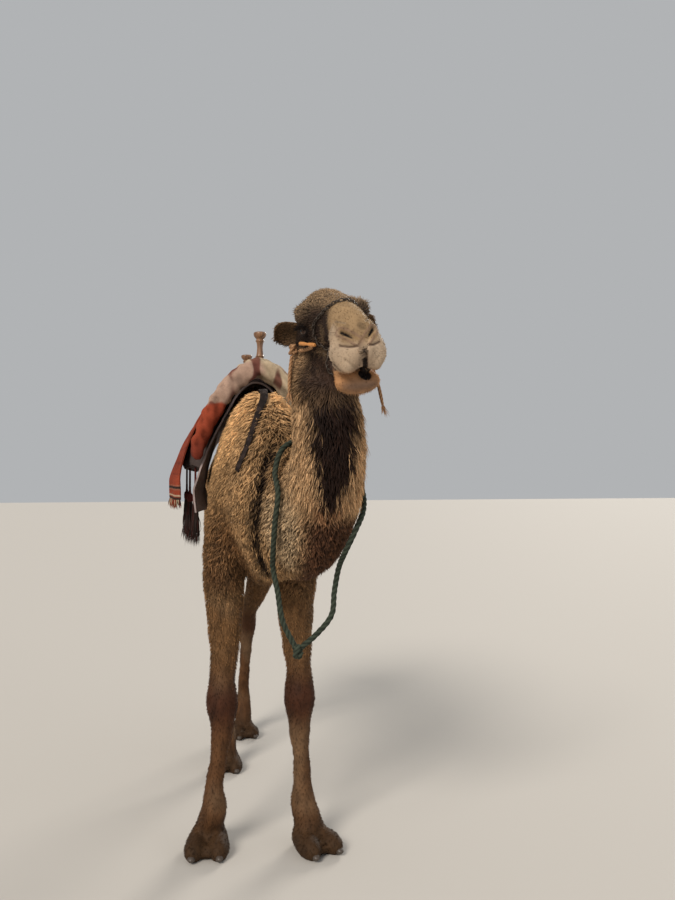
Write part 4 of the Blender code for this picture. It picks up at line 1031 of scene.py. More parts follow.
# %% Halter ropes
LOOSE_ENDS = {  # from each knot down: steps to the left, back and up
    "right": [(-0.004, 0.004, -0.020), (-0.010, 0.010, -0.080), (-0.012, 0.016, -0.150)],
    "left": [(0.006, 0.000, -0.021), (0.028, -0.004, -0.080), (0.052, -0.006, -0.150),
             (0.068, -0.006, -0.220)],
}
# The first colour is painted shade in the valleys between the strands, the second the tan of the
# crests.
ROPE_TAN = ((0.085, 0.038, 0.018), (0.42, 0.23, 0.115))  # the valleys and the crests of the rope
SKIN_LEVEL_ON_HEAD, SKIN_LEVEL_ON_BODY = -0.0035, -0.013  # the field's level at the bare skin
CHEEK_GAP, HEAD_ROPE_LIFT = 0.016, 0.012  # how far knots and head rope stand off coat and skin
FRAY_YARNS = 26


def laid(points, lift):
    """Points brought on to the bare skin, then lifted straight out of it."""
    head = (points[:, 1] < -0.45) & (points[:, 2] > 1.7)
    level = np.where(head, SKIN_LEVEL_ON_HEAD, SKIN_LEVEL_ON_BODY)
    points = pulled_to(flesh, points, level=level, rounds=10)
    return points + lift * outward(points)


clear = ROPE_WIDTH / 2
for side, sign in (("left", 1), ("right", -1)):
    cheek = on_flesh(
        [(sign * 0.090, 0.044, -0.080), (sign * 0.098, 0.015, -0.086),
         (sign * 0.106, -0.015, -0.092), (sign * 0.112, -0.040, -0.096)], clear
    )
    rope_piece(f"cheek_rope_{side}", smooth_path(cheek, 6), ROPE_WIDTH, ROPE_TAN, "rope",
               [f"halter_cheek_{side}"])
    knot = on_flesh([(sign * 0.114, -0.066, -0.096)], CHEEK_GAP)[0]
    knot_piece(f"cheek_knot_{side}", knot, (0.0165, 0.0185, 0.0195), 0.0125, ROPE_TAN, "rope",
               [f"halter_knot_{side}"])
    route = pulled_clear(knot + np.array(LOOSE_ENDS[side]), clear)
    made, line = rope_piece(f"rope_end_{side}", smooth_path(route, 8), ROPE_WIDTH, ROPE_TAN,
                            "rope", [f"halter_end_{side}"], fray=0.03)
    roots = line[-1] + RNG.normal(0, 0.0026, (FRAY_YARNS, 3))
    way = unit(line[-1] - line[-4]) + RNG.normal(0, 0.22, (FRAY_YARNS, 3))
    tint = np.array(ROPE_TAN[1]) * (0.6 + 0.9 * RNG.random((FRAY_YARNS, 1)))
    length = 0.022 + 0.020 * RNG.random(FRAY_YARNS)
    frayed = strands(f"frayed_end_{side}", roots, way, length, 0.0026, tint, ROPE)
    print(f"rope end {side}", round(length_of(line), 3), "m long")
over = laid(in_head_rows(
    [(0.112, -0.096, -0.110), (0.110, -0.150, -0.115), (0.100, -0.190, -0.075),
     (0.090, -0.205, -0.030), (0.060, -0.215, 0.015), (0.0, -0.220, 0.040),
     (-0.060, -0.215, 0.015), (-0.090, -0.205, -0.030), (-0.100, -0.190, -0.075),
     (-0.110, -0.150, -0.115), (-0.112, -0.096, -0.110)]), HEAD_ROPE_LIFT
)
rope_piece("head_rope", smooth_path(over, 8), ROPE_WIDTH, ROPE_TAN, "rope", ["halter_headrope"])

# %% [markdown]
# The noseband is a chain of oval links, each turned a quarter from the one before. One link is a
# wire carried round an oval; all of them are that same small grid, placed along the ring.

# %% Noseband chain
LINK_SIDES, WIRE_SIDES = 14, 6  # points round a link's oval, and round its wire


def chain_grid(line, link, wire):
    """Links x their sides x the wire's x 3: an oval at each place, every second one turned."""
    ahead, up, aside = frames_along(line, ring=True)
    turn = (np.arange(len(line)) % 2)[:, None]
    flat = np.where(turn, up, aside)
    thick = np.where(turn, aside, up)
    t, a = full_turn(LINK_SIDES), full_turn(WIRE_SIDES)
    long, short = link / 2 - wire / 2, link * 0.32 - wire / 2
    c, s = np.cos(t)[None, :, None, None], np.sin(t)[None, :, None, None]
    oval = c * long * ahead[:, None, None] + s * short * flat[:, None, None]
    way = c * ahead[:, None, None] + s * flat[:, None, None]
    ca, sa = np.cos(a)[None, None, :, None], np.sin(a)[None, None, :, None]
    return line[:, None, None] + oval + wire / 2 * (ca * way + sa * thick[:, None, None])


def chain_route():
    """A ring round nose and jaw. It climbs forwards on the bridge of the nose, where the seventh
    power of the turn's sine keeps the climb to the top, and comes back to the cheeks."""
    left, _, above = HEAD_AXES
    turn = np.radians(np.arange(36) * 10.0)
    climb = np.clip(np.sin(turn), 0, 1) ** 7
    forward = 0.115 - 0.055 * np.cos(turn) ** 2 - 0.010 * np.sin(turn) + 0.080 * climb
    rays = np.cos(turn)[:, None] * left + np.sin(turn)[:, None] * above
    middles = np.array([in_head(0, f, -0.050) for f in forward])
    points = reached(flesh, middles, rays, SKIN_LEVEL_ON_HEAD, far=0.17)
    return points + 0.0062 * outward(points)


band = chain_route()
ring = smooth_path(np.vstack([band[-2:], band, band[:2]]), 8)[16:-16]
links = 2 * round(length_of(ring) / 0.0155 / 2)
ring = evenly(ring, links + 1)[:-1]
grid = chain_grid(ring, 0.0225, 0.0042)
link_faces = grid_faces(LINK_SIDES, WIRE_SIDES, around=True, ring=True)
starts = np.arange(links) * LINK_SIDES * WIRE_SIDES
faces = (link_faces[None] + starts[:, None, None]).reshape(-1, 4)
mesh = new_mesh("noseband_chain", grid.reshape(-1, 3), [faces])
add_piece("noseband_chain", mesh, IRON, "iron", ["halter_noseband"], sharp=180)
print(links, "links in the noseband")

# %% Toggle
toggle = on_flesh([(-0.106, 0.000, -0.062), (-0.074, 0.090, -0.062)], 0.020)
profile = smooth_path([  # share of the way along, radius
    (0.0, 0.0040), (0.06, 0.0062), (0.30, 0.0064), (0.44, 0.0050), (0.50, 0.0034),
    (0.56, 0.0050), (0.70, 0.0064), (0.94, 0.0062), (1.0, 0.0040)], 5)
line = toggle[0] + (toggle[1] - toggle[0]) * profile[:, :1]
points, groups = closed_tube(swept(line, profile[:, 1] * 1.03, 24, HEAD_AXES[2]))
add_piece("toggle", new_mesh("toggle", points, groups), TOGGLE_HORN, "toggle", ["halter_toggle"])

# %% [markdown]
# ## The skin
# A mounted animal's skin is one piece, without the seams between the solids. Plain tubes where
# the field's are go through a voxel remesh, and every vertex is then pulled down the field's
# slope until it lies inside the outline by the depth of the coat. The faces are split in four on
# the head, again on the nose, the lips and round the eyes, and once more at the split lip.

# %% Regions of the body
def ramp(value, low, high):
    """0 below low, 1 above high, and a smooth step between them."""
    t = np.clip((value - low) / (high - low), 0, 1)
    return t * t * (3 - 2 * t)


def in_head_frame(points):
    """The points along the head's own axes: left, forward, up."""
    return (points - HEAD_AT) @ HEAD_AXES.T


NECK_HEIGHTS = np.array([1.20, 1.30, 1.45, 1.59, 1.74, 1.87, 1.96])
NECK_BACKS = np.array([-0.34, -0.40, -0.475, -0.530, -0.525, -0.495, -0.470])
NECK_ASIDES = np.array([0.122, 0.130, 0.150, 0.168, 0.164, 0.152, 0.150])


def regions(points):
    """How far each point belongs to head, neck, leg, shin, foot, tail and trunk, from 0 to 1."""
    _, y, z = points.T
    _, forward, up = in_head_frame(points).T
    found = {}
    found["head"] = ramp(forward, -0.20, -0.11) * ramp(up, -0.27, -0.19) * ramp(-y, 0.45, 0.52)
    found["tail"] = ramp(y, RUMP + 0.06, RUMP + 0.085) * ramp(z, 0.80, 0.86)
    found["leg"] = ramp(-z, -1.12, -0.98) * (1 - found["tail"])
    found["shin"] = ramp(-z, -0.86, -0.62) * (1 - found["tail"])
    found["foot"] = ramp(-z, -0.19, -0.11)
    found["neck"] = (1 - found["head"]) * ramp(-y, 0.10, 0.30) * (1 - found["leg"])
    others = found["head"] + found["neck"] + found["leg"] + found["tail"]
    found["trunk"] = np.clip(1 - others, 0, 1)
    return found


def neck_place(points):
    """How far a point of the neck is ahead of its middle line, and how far to its left."""
    ahead = np.interp(points[:, 2], NECK_HEIGHTS, NECK_BACKS) - points[:, 1]
    return ahead, points[:, 0] - np.interp(points[:, 2], NECK_HEIGHTS, NECK_ASIDES)


def cloud(points, scale, seed=0):
    """A smooth wandering number between about -1 and 1: the mean of a few slanted waves."""
    maker = np.random.default_rng(100 + seed)
    total = np.zeros(len(points))
    for _ in range(5):
        way = maker.normal(size=3)
        way *= (0.7 + 0.8 * maker.random()) * 2 * math.pi / (scale * np.linalg.norm(way))
        total += np.sin(points @ way + maker.random() * 2 * math.pi)
    return total / 3.0


def coat_depth(points):
    """How far the skin lies under the tips of the coat: a few millimetres on the face and the
    shins, more on the body, most on the neck and the crown."""
    r = regions(points)
    _, forward, up = in_head_frame(points).T
    crown = r["head"] * ramp(up, 0.02, 0.07) * ramp(-forward, -0.06, 0.0)
    depth = 0.013 * r["trunk"] + 0.014 * r["neck"] + 0.0035 * r["head"] + 0.006 * r["leg"]
    depth = depth + 0.006 * r["tail"] + 0.007 * crown
    depth = depth * (1 - r["shin"]) + 0.003 * r["shin"]
    return np.clip(depth, 0.0025, 0.016)


# %% Rough shapes for the voxels
def round_ends(rows):
    """The rows of a tube with two smaller rings past each end, where the field is round."""
    ends = []
    for end, inner in ((rows[0], rows[1]), (rows[-1], rows[-2])):
        outward = end[:3] - inner[:3]
        outward /= np.linalg.norm(outward)
        small = end[3:].min()
        ends.append(
            [
                [*(end[:3] + small * math.sin(turn) * outward), *(end[3:] * math.cos(turn))]
                for turn in (math.radians(40), math.radians(75))
            ]
        )
    return np.array([*reversed(ends[0]), *rows, *ends[1]])


def tube_grid(stations, side=ACROSS, sides=12, between=3):
    """Rings of points through the stations: ellipses square to the path, rounded at its ends."""
    rows = round_ends(smooth_path(stations, between))
    tangents = unit(np.gradient(rows[:, :3], axis=0))
    across = unit(side - (tangents @ side)[:, None] * tangents)
    turn = full_turn(sides)
    return (
        rows[:, None, :3]
        + np.cos(turn)[None, :, None] * (across * rows[:, 3:4])[:, None]
        + np.sin(turn)[None, :, None] * (np.cross(tangents, across) * rows[:, 4:5])[:, None]
    )


def rough_tube(stations, side=ACROSS):
    """Points and faces of a plain tube through the stations, much as the field has it."""
    return closed_tube(tube_grid(stations, side))


def rough_ball(centre, radii, rings=12, sides=20):
    """An ellipsoid as a tube whose radius is the sine of the turn from pole to pole."""
    turn = np.linspace(0.02, math.pi - 0.02, rings)[:, None]
    angle = full_turn(sides)[None, :]
    grid = np.stack(
        [np.sin(turn) * np.cos(angle), np.sin(turn) * np.sin(angle), np.cos(turn) + 0 * angle], -1
    )
    return closed_tube(np.array(centre) + grid * np.array(radii))


def rough_body():
    """Plain tubes and balls where the field's are, in one mesh, to start the voxels from."""
    shapes = [rough_tube(trunk_stations()), rough_tube(NECK), rough_tube(TAIL)]
    shapes += [rough_tube(stations) for stations in LEGS.values()]
    shapes += [rough_tube(in_head_stations(rows), HEAD_AXES[0]) for rows in (SKULL, JAW)]
    shapes.append(rough_ball(*HUMP))
    for (x, y), turn, size in FEET.values():
        toe = Vector((math.sin(math.radians(turn)), -math.cos(math.radians(turn)))) * 0.075
        foot = [(x, y + 0.02, 0.035, 0.075 * size, 0.050 * size),
                (x + toe.x, y + toe.y, 0.020, 0.080 * size, 0.045 * size)]
        shapes.append(rough_tube(foot))
    points, groups, start = [], [], 0
    for made, faces in shapes:
        if signed_volume(made, np.concatenate([as_triangles(f) for f in faces])) < 0:
            faces = [f[:, ::-1] for f in faces]
        groups += [f + start for f in faces]
        points.append(made)
        start += len(made)
    rough = bpy.data.objects.new("rough", new_mesh("rough", np.vstack(points), groups, False))
    bpy.context.scene.collection.objects.link(rough)
    return rough


# %% Pulling the skin to its depth
def coordinates(mesh):
    """The mesh's points, back from the frame to the field."""
    flat = np.empty(len(mesh.vertices) * 3, np.float32)
    mesh.vertices.foreach_get("co", flat)
    return flat.reshape(-1, 3).astype(float) - OFFSET


def set_coordinates(mesh, points):
    """The mesh's points, put from the field into the frame."""
    mesh.vertices.foreach_set("co", (points + OFFSET).astype(np.float32).ravel())
    mesh.update()


def relax(mesh, rounds, chosen=None):
    """Evens out the mesh, then puts the chosen points back on the field."""
    shape = bmesh.new()
    shape.from_mesh(mesh)
    shape.verts.ensure_lookup_table()
    wanted = shape.verts if chosen is None else [shape.verts[i] for i in np.flatnonzero(chosen)]
    for _ in range(rounds):
        bmesh.ops.smooth_vert(
            shape, verts=wanted, factor=0.5, use_axis_x=True, use_axis_y=True, use_axis_z=True
        )
    shape.to_mesh(mesh)
    shape.free()
    points = coordinates(mesh)
    moved = slice(None) if chosen is None else chosen
    points[moved] = pulled_to(flesh, points[moved], rounds=2)
    set_coordinates(mesh, points)


def refine(mesh, wanted):
    """Splits the faces round the wanted vertices in four."""
    shape = bmesh.new()
    shape.from_mesh(mesh)
    shape.verts.ensure_lookup_table()
    edges = [e for e in shape.edges if wanted[e.verts[0].index] or wanted[e.verts[1].index]]
    bmesh.ops.subdivide_edges(shape, edges=edges, cuts=1, use_grid_fill=True)
    bmesh.ops.triangulate(shape, faces=[f for f in shape.faces if len(f.verts) > 4])
    shape.to_mesh(mesh)
    shape.free()


def on_head(points):
    """Which points are in front of the neck and above the throat."""
    _, forward, up = in_head_frame(points).T
    return (forward > -0.16) & (up > -0.25) & (points[:, 1] < -0.45)


def on_face(points):
    """Which points are round the eyes, or on the nose, the lips and the chin."""
    left, forward, up = in_head_frame(points).T
    eye = (np.abs(left) > 0.05) & (np.abs(forward) < 0.075) & (np.abs(up + 0.02) < 0.06)
    return on_head(points) & (eye | (forward > 0.20))


def on_split(points):
    """Which points are by the split of the upper lip, where the pull leaves wide faces."""
    left, forward, up = in_head_frame(points).T
    return on_face(points) & (np.abs(left - 0.003) < 0.024) & (forward > 0.26) & (up < -0.030)


def skin_mesh(voxel):
    """The field as one closed mesh with smaller faces on the head, and smallest on the face."""
    rough = rough_body()
    remesh = rough.modifiers.new("voxels", "REMESH")
    remesh.mode, remesh.voxel_size = "VOXEL", voxel
    graph = bpy.context.evaluated_depsgraph_get()
    graph.update()
    mesh = bpy.data.meshes.new_from_object(rough.evaluated_get(graph))
    bpy.data.objects.remove(rough)
    set_coordinates(mesh, pulled_to(flesh, coordinates(mesh), rounds=4))
    relax(mesh, 3)
    for chosen, rounds in ((on_head, 2), (on_face, 2), (on_split, 7)):
        refine(mesh, chosen(coordinates(mesh)))
        relax(mesh, rounds, chosen(coordinates(mesh)))
    points = coordinates(mesh)
    set_coordinates(mesh, pulled_to(flesh, points, level=-coat_depth(points), rounds=3))
    return mesh


base_skin = skin_mesh(0.0125)
print("bare skin:", len(base_skin.vertices), "points")

# %% [markdown]
# The skin's own detail comes next: slit nostrils with thick rims, the long mouth with a split
# upper lip, the hanging lower lip, wrinkles of loose skin on the muzzle, and the fold where the
# shoulder meets the base of the neck. Each is a groove along a line, as deep as a bell curve.

# %% Lines of the face
def on_skin(rows, side=1):
    """A line in the head's frame, brought on to the bare skin, on one side of the face."""
    rows = smooth_path([(side * left, forward, up) for left, forward, up in rows], 4)
    return in_head_frame(pulled_to(flesh, in_head_rows(rows), SKIN_LEVEL_ON_HEAD, rounds=8))


NOSTRIL = [(0.008, 0.375, -0.044), (0.020, 0.370, -0.035), (0.032, 0.362, -0.024),
           (0.046, 0.345, -0.016), (0.058, 0.326, -0.010)]
CREASE = [(0.012, 0.378, -0.054), (0.036, 0.364, -0.058), (0.066, 0.344, -0.052)]
LIP_SPLIT = [(-0.160, 0.016), (-0.118, 0.010), (-0.085, 0.006), (-0.045, 0.003)]  # up, left
MOUTH = [(0.090, 0.190, -0.112), (0.094, 0.262, -0.104), (0.088, 0.309, -0.110),
         (0.051, 0.332, -0.134), (0.032, 0.332, -0.143)]
OPENING = [(0.008, 0.316, -0.140), (0.032, 0.316, -0.137), (0.024, 0.310, -0.158),
           (0.008, 0.316, -0.140)]
FOLDS = [
    [(0.074, 0.330, -0.062), (0.078, 0.318, -0.085), (0.070, 0.322, -0.108)],
    [(0.050, 0.345, -0.088), (0.034, 0.348, -0.098), (0.022, 0.345, -0.108)],
    [(0.066, 0.270, 0.002), (0.076, 0.268, -0.030), (0.082, 0.262, -0.062)],
    [(0.030, 0.310, 0.006), (0.045, 0.285, 0.012), (0.052, 0.255, 0.014)],
    [(0.060, 0.250, -0.190), (0.030, 0.285, -0.205), (0.0, 0.295, -0.208)],
]
FACE_LINES = {
    side: [on_skin(rows, side) for rows in (NOSTRIL, CREASE, MOUTH, *FOLDS)] for side in (-1, 1)
}
OPENING_LINE = on_skin(OPENING)


def distance_to(points, line):
    """Each point's distance to the nearest stretch of a line."""
    line = np.array(line, float)
    best = np.full(len(points), 9.0)
    for a, b in zip(line[:-1], line[1:]):
        t = np.clip((points - a) @ (b - a) / ((b - a) @ (b - a)), 0, 1)
        best = np.minimum(best, np.linalg.norm(points - a - t[:, None] * (b - a), axis=1))
    return best


def bell(distance, width):
    """One at no distance, and e to the minus (distance / width) squared further off."""
    return np.exp(-((distance / width) ** 2))


def face_lines(points):
    """How close each point is to the nostrils, the mouth, its opening and the folds, 0 to 1."""
    local = in_head_frame(points)
    keys = ("nostril", "rim", "crease", "mouth", "split", "opening", "fold", "lobe")
    found = {key: np.zeros(len(points)) for key in keys}
    near_face = (local[:, 1] > 0.12) & (local[:, 1] < 0.45) & (np.abs(local[:, 0]) < 0.16)
    here = in_head_frame(pulled_to(flesh, points[near_face], SKIN_LEVEL_ON_HEAD, rounds=2))
    for side, (nostril, crease, mouth, *folds) in FACE_LINES.items():
        slit = distance_to(here, nostril)
        outer = ramp(np.abs(here[:, 0]), 0.020, 0.042)
        lobe = np.linalg.norm(here - np.array([side * 0.046, 0.345, -0.092]), axis=1)
        close = {
            "nostril": bell(slit, 0.0062) * (0.42 + 0.58 * outer),
            "rim": bell(slit - 0.014, 0.007),
            "crease": bell(distance_to(here, crease), 0.0048),
            "mouth": bell(distance_to(here, mouth), 0.0070),
            "lobe": bell(lobe, 0.042),
            "fold": np.maximum.reduce([bell(distance_to(here, fold), 0.0042) for fold in folds]),
        }
        for key, value in close.items():
            found[key][near_face] = np.maximum(found[key][near_face], value)
    left, forward, up = local[near_face].T
    middle = np.interp(up, *np.array(LIP_SPLIT).T)
    lip = ramp(forward, 0.29, 0.31) * ramp(-up, 0.046, 0.058) * ramp(up, -0.156, -0.146)
    found["split"][near_face] = bell(left - middle, 0.0062) * lip
    found["opening"][near_face] = bell(distance_to(here, OPENING_LINE), 0.0165)
    return found


SHOULDER_FOLD = pulled_to(flesh, smooth_path([
    (-0.040, -0.405, 1.700), (-0.062, -0.400, 1.620), (-0.072, -0.390, 1.560),
    (-0.056, -0.384, 1.500), (-0.050, -0.340, 1.330), (-0.043, -0.272, 1.160)],
), SKIN_LEVEL_ON_BODY, rounds=8)


def shoulder_fold(points, width):
    """How close each point is to the crease between shoulder and neck, on either side."""
    close = np.zeros(len(points))
    near_fold = (np.abs(points[:, 1] + 0.33) < 0.18) & (np.abs(points[:, 2] - 1.43) < 0.36)
    near_fold &= np.abs(points[:, 0] - 0.08) < 0.26
    here = pulled_to(flesh, points[near_fold], SKIN_LEVEL_ON_BODY, rounds=2)
    other = here * np.array([-1, 1, 1]) + np.array([0.16, 0, 0])
    away = np.minimum(distance_to(here, SHOULDER_FOLD), distance_to(other, SHOULDER_FOLD))
    close[near_fold] = bell(away, width)
    return close


def detailed(points, normals):
    """The skin with its grooves and wrinkles pressed in along the normals."""
    lines = face_lines(points)
    local = in_head_frame(points)
    move = -0.0110 * lines["nostril"] + 0.0030 * lines["rim"] - 0.0075 * lines["mouth"]
    move += -0.014 * lines["opening"] - 0.0022 * lines["fold"] - 0.0042 * lines["crease"]
    move += 0.0050 * lines["lobe"] - 0.0070 * lines["split"]
    droop = np.zeros(len(points))
    for side in (-1, 1):
        lobe = np.linalg.norm(local - np.array([side * 0.044, 0.340, -0.122]), axis=1)
        droop = np.maximum(droop, 0.015 * bell(lobe, 0.030) * ramp(local[:, 2], -0.150, -0.138))
    muzzle = ramp(local[:, 1], 0.20, 0.28) * ramp(points[:, 2], 1.70, 1.75)
    move += 0.0009 * muzzle * cloud(local * np.array([1.0, 2.2, 1.0]), 0.045, 3)
    move -= 0.022 * shoulder_fold(points, 0.024)
    rough = 1 - ramp(local[:, 1], -0.2, -0.1)
    move += 0.0022 * rough * cloud(points, 0.11, 5)
    knee = bell(points[:, 2] - KNEE, 0.055) * ramp(-points[:, 1], 0.0, 0.1)
    move += 0.0016 * knee * cloud(points * np.array([1.0, 1.0, 2.0]), 0.022, 6)
    hang = 0.30 * HEAD_AXES[1] - 0.95 * HEAD_AXES[2]
    return points + normals * move[:, None] + droop[:, None] * hang


def mesh_arrays(mesh):
    """Points in the field's place, unit normals, and the faces as triangles and quads."""
    count = np.empty(len(mesh.polygons), np.int32)
    mesh.polygons.foreach_get("loop_total", count)
    start = np.empty(len(mesh.polygons), np.int32)
    mesh.polygons.foreach_get("loop_start", start)
    corner = np.empty(len(mesh.loops), np.int32)
    mesh.loops.foreach_get("vertex_index", corner)
    normals = np.empty(len(mesh.vertices) * 3, np.float32)
    mesh.vertex_normals.foreach_get("vector", normals)
    groups = [corner[start[count == n][:, None] + np.arange(n)] for n in (3, 4)]
    return coordinates(mesh), normals.reshape(-1, 3).astype(float), groups


body_points, body_normals, body_faces = mesh_arrays(base_skin)
body_points = detailed(body_points, body_normals)
bpy.data.meshes.remove(base_skin)

# %% [markdown]
# The ears are cupped leaves of gristle, small and round-tipped, set low behind the crown. Each
# leaf is a grid: its length runs to the tip and its width goes round a cup that opens towards
# the tip. The lids are rings round an almond opening that lie just off the eyeball.

# %% Ears
EAR_LENGTH = 0.114
EAR_HALF = 0.052
EAR_THICK = 0.009


def ear_leaf(steps, across):
    """Outer and inner grids of a cupped leaf: length along X, width along Y, open towards +Z."""
    s = np.linspace(0, 1, steps)[:, None]
    t = np.linspace(-1, 1, across)[None, :]
    half = EAR_HALF * (0.62 + 0.38 * np.sin(math.pi / 2 * np.clip(s * 1.6, 0, 1)))
    half = half * np.sqrt(np.clip(1.015 - s**5, 0.015, 1))
    cup = 1.35 - 0.80 * s
    radius = half / np.sin(cup)
    grids = []
    for inset in (0.08, 0.92):
        thick = EAR_THICK * inset * np.sqrt(np.clip(1.04 - t**4, 0.04, 1)) * (1 - 0.6 * s)
        wide = (radius - thick) * np.sin(cup * t)
        deep = radius * 0.4 - (radius - thick) * np.cos(cup * t)
        grids.append(np.stack([EAR_LENGTH * s + 0 * t, wide, deep], axis=-1))
    return grids


def ear_grids(sign, steps=26, across=25):
    """The leaf turned and moved to the side of the head, open forwards and a little down."""
    root = in_head(sign * 0.082, -0.086, -0.034)
    left, ahead, up = HEAD_AXES
    tip = unit(sign * 0.90 * left - 0.34 * ahead - 0.20 * up)
    open_way = 0.85 * ahead + sign * 0.30 * left - 0.42 * up
    open_way = unit(open_way - (open_way @ tip) * tip)
    turn = np.array([tip, np.cross(open_way, tip), open_way])
    return [root + grid @ turn for grid in ear_leaf(steps, across)], tip, open_way


# %% Eyelids
LID_WIDE, LID_HIGH = math.radians(54), math.radians(36)


def eye_axes(sign):
    """The way an eye looks, and the ways along and across its opening."""
    left, ahead, up = HEAD_AXES
    gaze = unit(sign * 0.93 * left + 0.34 * ahead + 0.05 * up)
    along = unit(ahead - (ahead @ gaze) * gaze)
    return gaze, along, np.cross(along, gaze) * (1 if sign < 0 else -1)


def lid_grid(sign, around=56):
    """Rings round the almond opening: angle off the gaze and distance from the eye's middle.

    The first ring is the rim on the eyeball, the next are the lid's edge and its bulge, and the
    last dive under the skin. The angle grows as a share of the half circle that is left.
    """
    gaze, along, above = eye_axes(sign)
    if above @ HEAD_AXES[2] < 0:
        above = -above
    theta = full_turn(around)
    corner = np.abs(np.cos(theta)) ** 2.2
    edge = np.sqrt((LID_WIDE * np.cos(theta)) ** 2 + (LID_HIGH * np.sin(theta)) ** 2)
    edge = edge * (1 + 0.05 * corner)
    rows = [(0.00, 0.0204), (-0.02, 0.0216), (0.03, 0.0236), (0.16, 0.0246), (0.30, 0.0240),
            (0.42, 0.0251), (0.60, 0.0262), (0.80, 0.0262), (0.95, 0.0225), (0.70, 0.0180),
            (0.25, 0.0180)]
    grid = []
    for share, radius in rows:
        angle = edge + share * (math.radians(112) - edge)
        way = (
            np.cos(angle)[:, None] * gaze
            + (np.sin(angle) * np.cos(theta))[:, None] * along
            + (np.sin(angle) * np.sin(theta))[:, None] * above
        )
        grid.append(way * radius)
    return np.array(grid)


# %% One skin
def joined(shapes):
    """Several meshes as one: points, face groups, and which shape each point came from."""
    points, groups, kinds, start = [], [], [], 0
    for kind, made, faces in shapes:
        faces = [f for f in faces if len(f)]
        if signed_volume(made, np.concatenate([as_triangles(f) for f in faces])) < 0:
            faces = [f[:, ::-1] for f in faces]
        groups += [f + start for f in faces]
        points.append(made)
        kinds.append(np.broadcast_to(kind, (len(made),)))
        start += len(made)
    quads = [g for g in groups if g.shape[1] == 4]
    triangles = [g for g in groups if g.shape[1] == 3]
    groups = [np.concatenate(g) for g in (triangles, quads) if g]
    return np.vstack(points), groups, np.concatenate(kinds)


BODY, EAR_BACK, EAR_CUP, LID = range(4)
shapes = [(BODY, body_points, body_faces)]
for sign in (-1, 1):
    (outer, inner), _, _ = ear_grids(sign)
    points, groups = closed_shell(outer, inner)
    kind = np.repeat([EAR_BACK, EAR_CUP], len(points) // 2)
    shapes.append((kind, points, groups))
    rings = lid_grid(sign)
    centre = EYE_PLACES["left" if sign > 0 else "right"]
    lid_faces = [grid_faces(*rings.shape[:2], around=True, ring=True)]
    shapes.append((LID, centre + rings.reshape(-1, 3), lid_faces))
skin_points, skin_faces, skin_kinds = joined(shapes)
print("skin:", len(skin_points), "points")

# %% [markdown]
# ## Markings and painted shade
# The colours of the animal are one function of where a point lies on the body. The skin and
# every lock of the coat ask the same function, so that they always agree: a tan fleece, light
# sides of the neck, a near-black throat that narrows to a point on the chest, a brown crown,
# dark cheeks, a pale nose and an orange chin. Some of it is painted light and shade: the trunk
# lighter on top and darker below, shade on the throat and the cheeks, and dark grooves on the
# face.

# %% Colours of the coat
TAN = np.array([0.56, 0.325, 0.145])
SHOULDER = np.array([0.200, 0.090, 0.034])
BELLY_BROWN = np.array([0.190, 0.094, 0.042])
NECK_LIGHT = np.array([0.600, 0.370, 0.190])
THROAT = np.array([0.019, 0.0080, 0.0045])
CHEST_BROWN = np.array([0.150, 0.066, 0.032])
CHEST_PALE = np.array([0.600, 0.420, 0.245])
RUST = np.array([0.330, 0.160, 0.075])
LEG_BROWN = np.array([0.215, 0.108, 0.042])
KNEE_RED = np.array([0.056, 0.0185, 0.0075])
SHIN_TAN = np.array([0.095, 0.041, 0.015])
# Near-black cheeks: partly dark hair and partly painted shade.
CHEEK = np.array([0.018, 0.0095, 0.0065])
CROWN = np.array([0.320, 0.210, 0.115])
BRIDGE = np.array([0.330, 0.215, 0.108])
MUZZLE = np.array([0.470, 0.350, 0.240])
LIP = np.array([0.180, 0.105, 0.068])
CHIN = np.array([0.500, 0.245, 0.100])
UNDERLIP = np.array([0.150, 0.088, 0.055])
DARK = np.array([0.010, 0.006, 0.005])
EAR_BROWN = np.array([0.210, 0.120, 0.060])


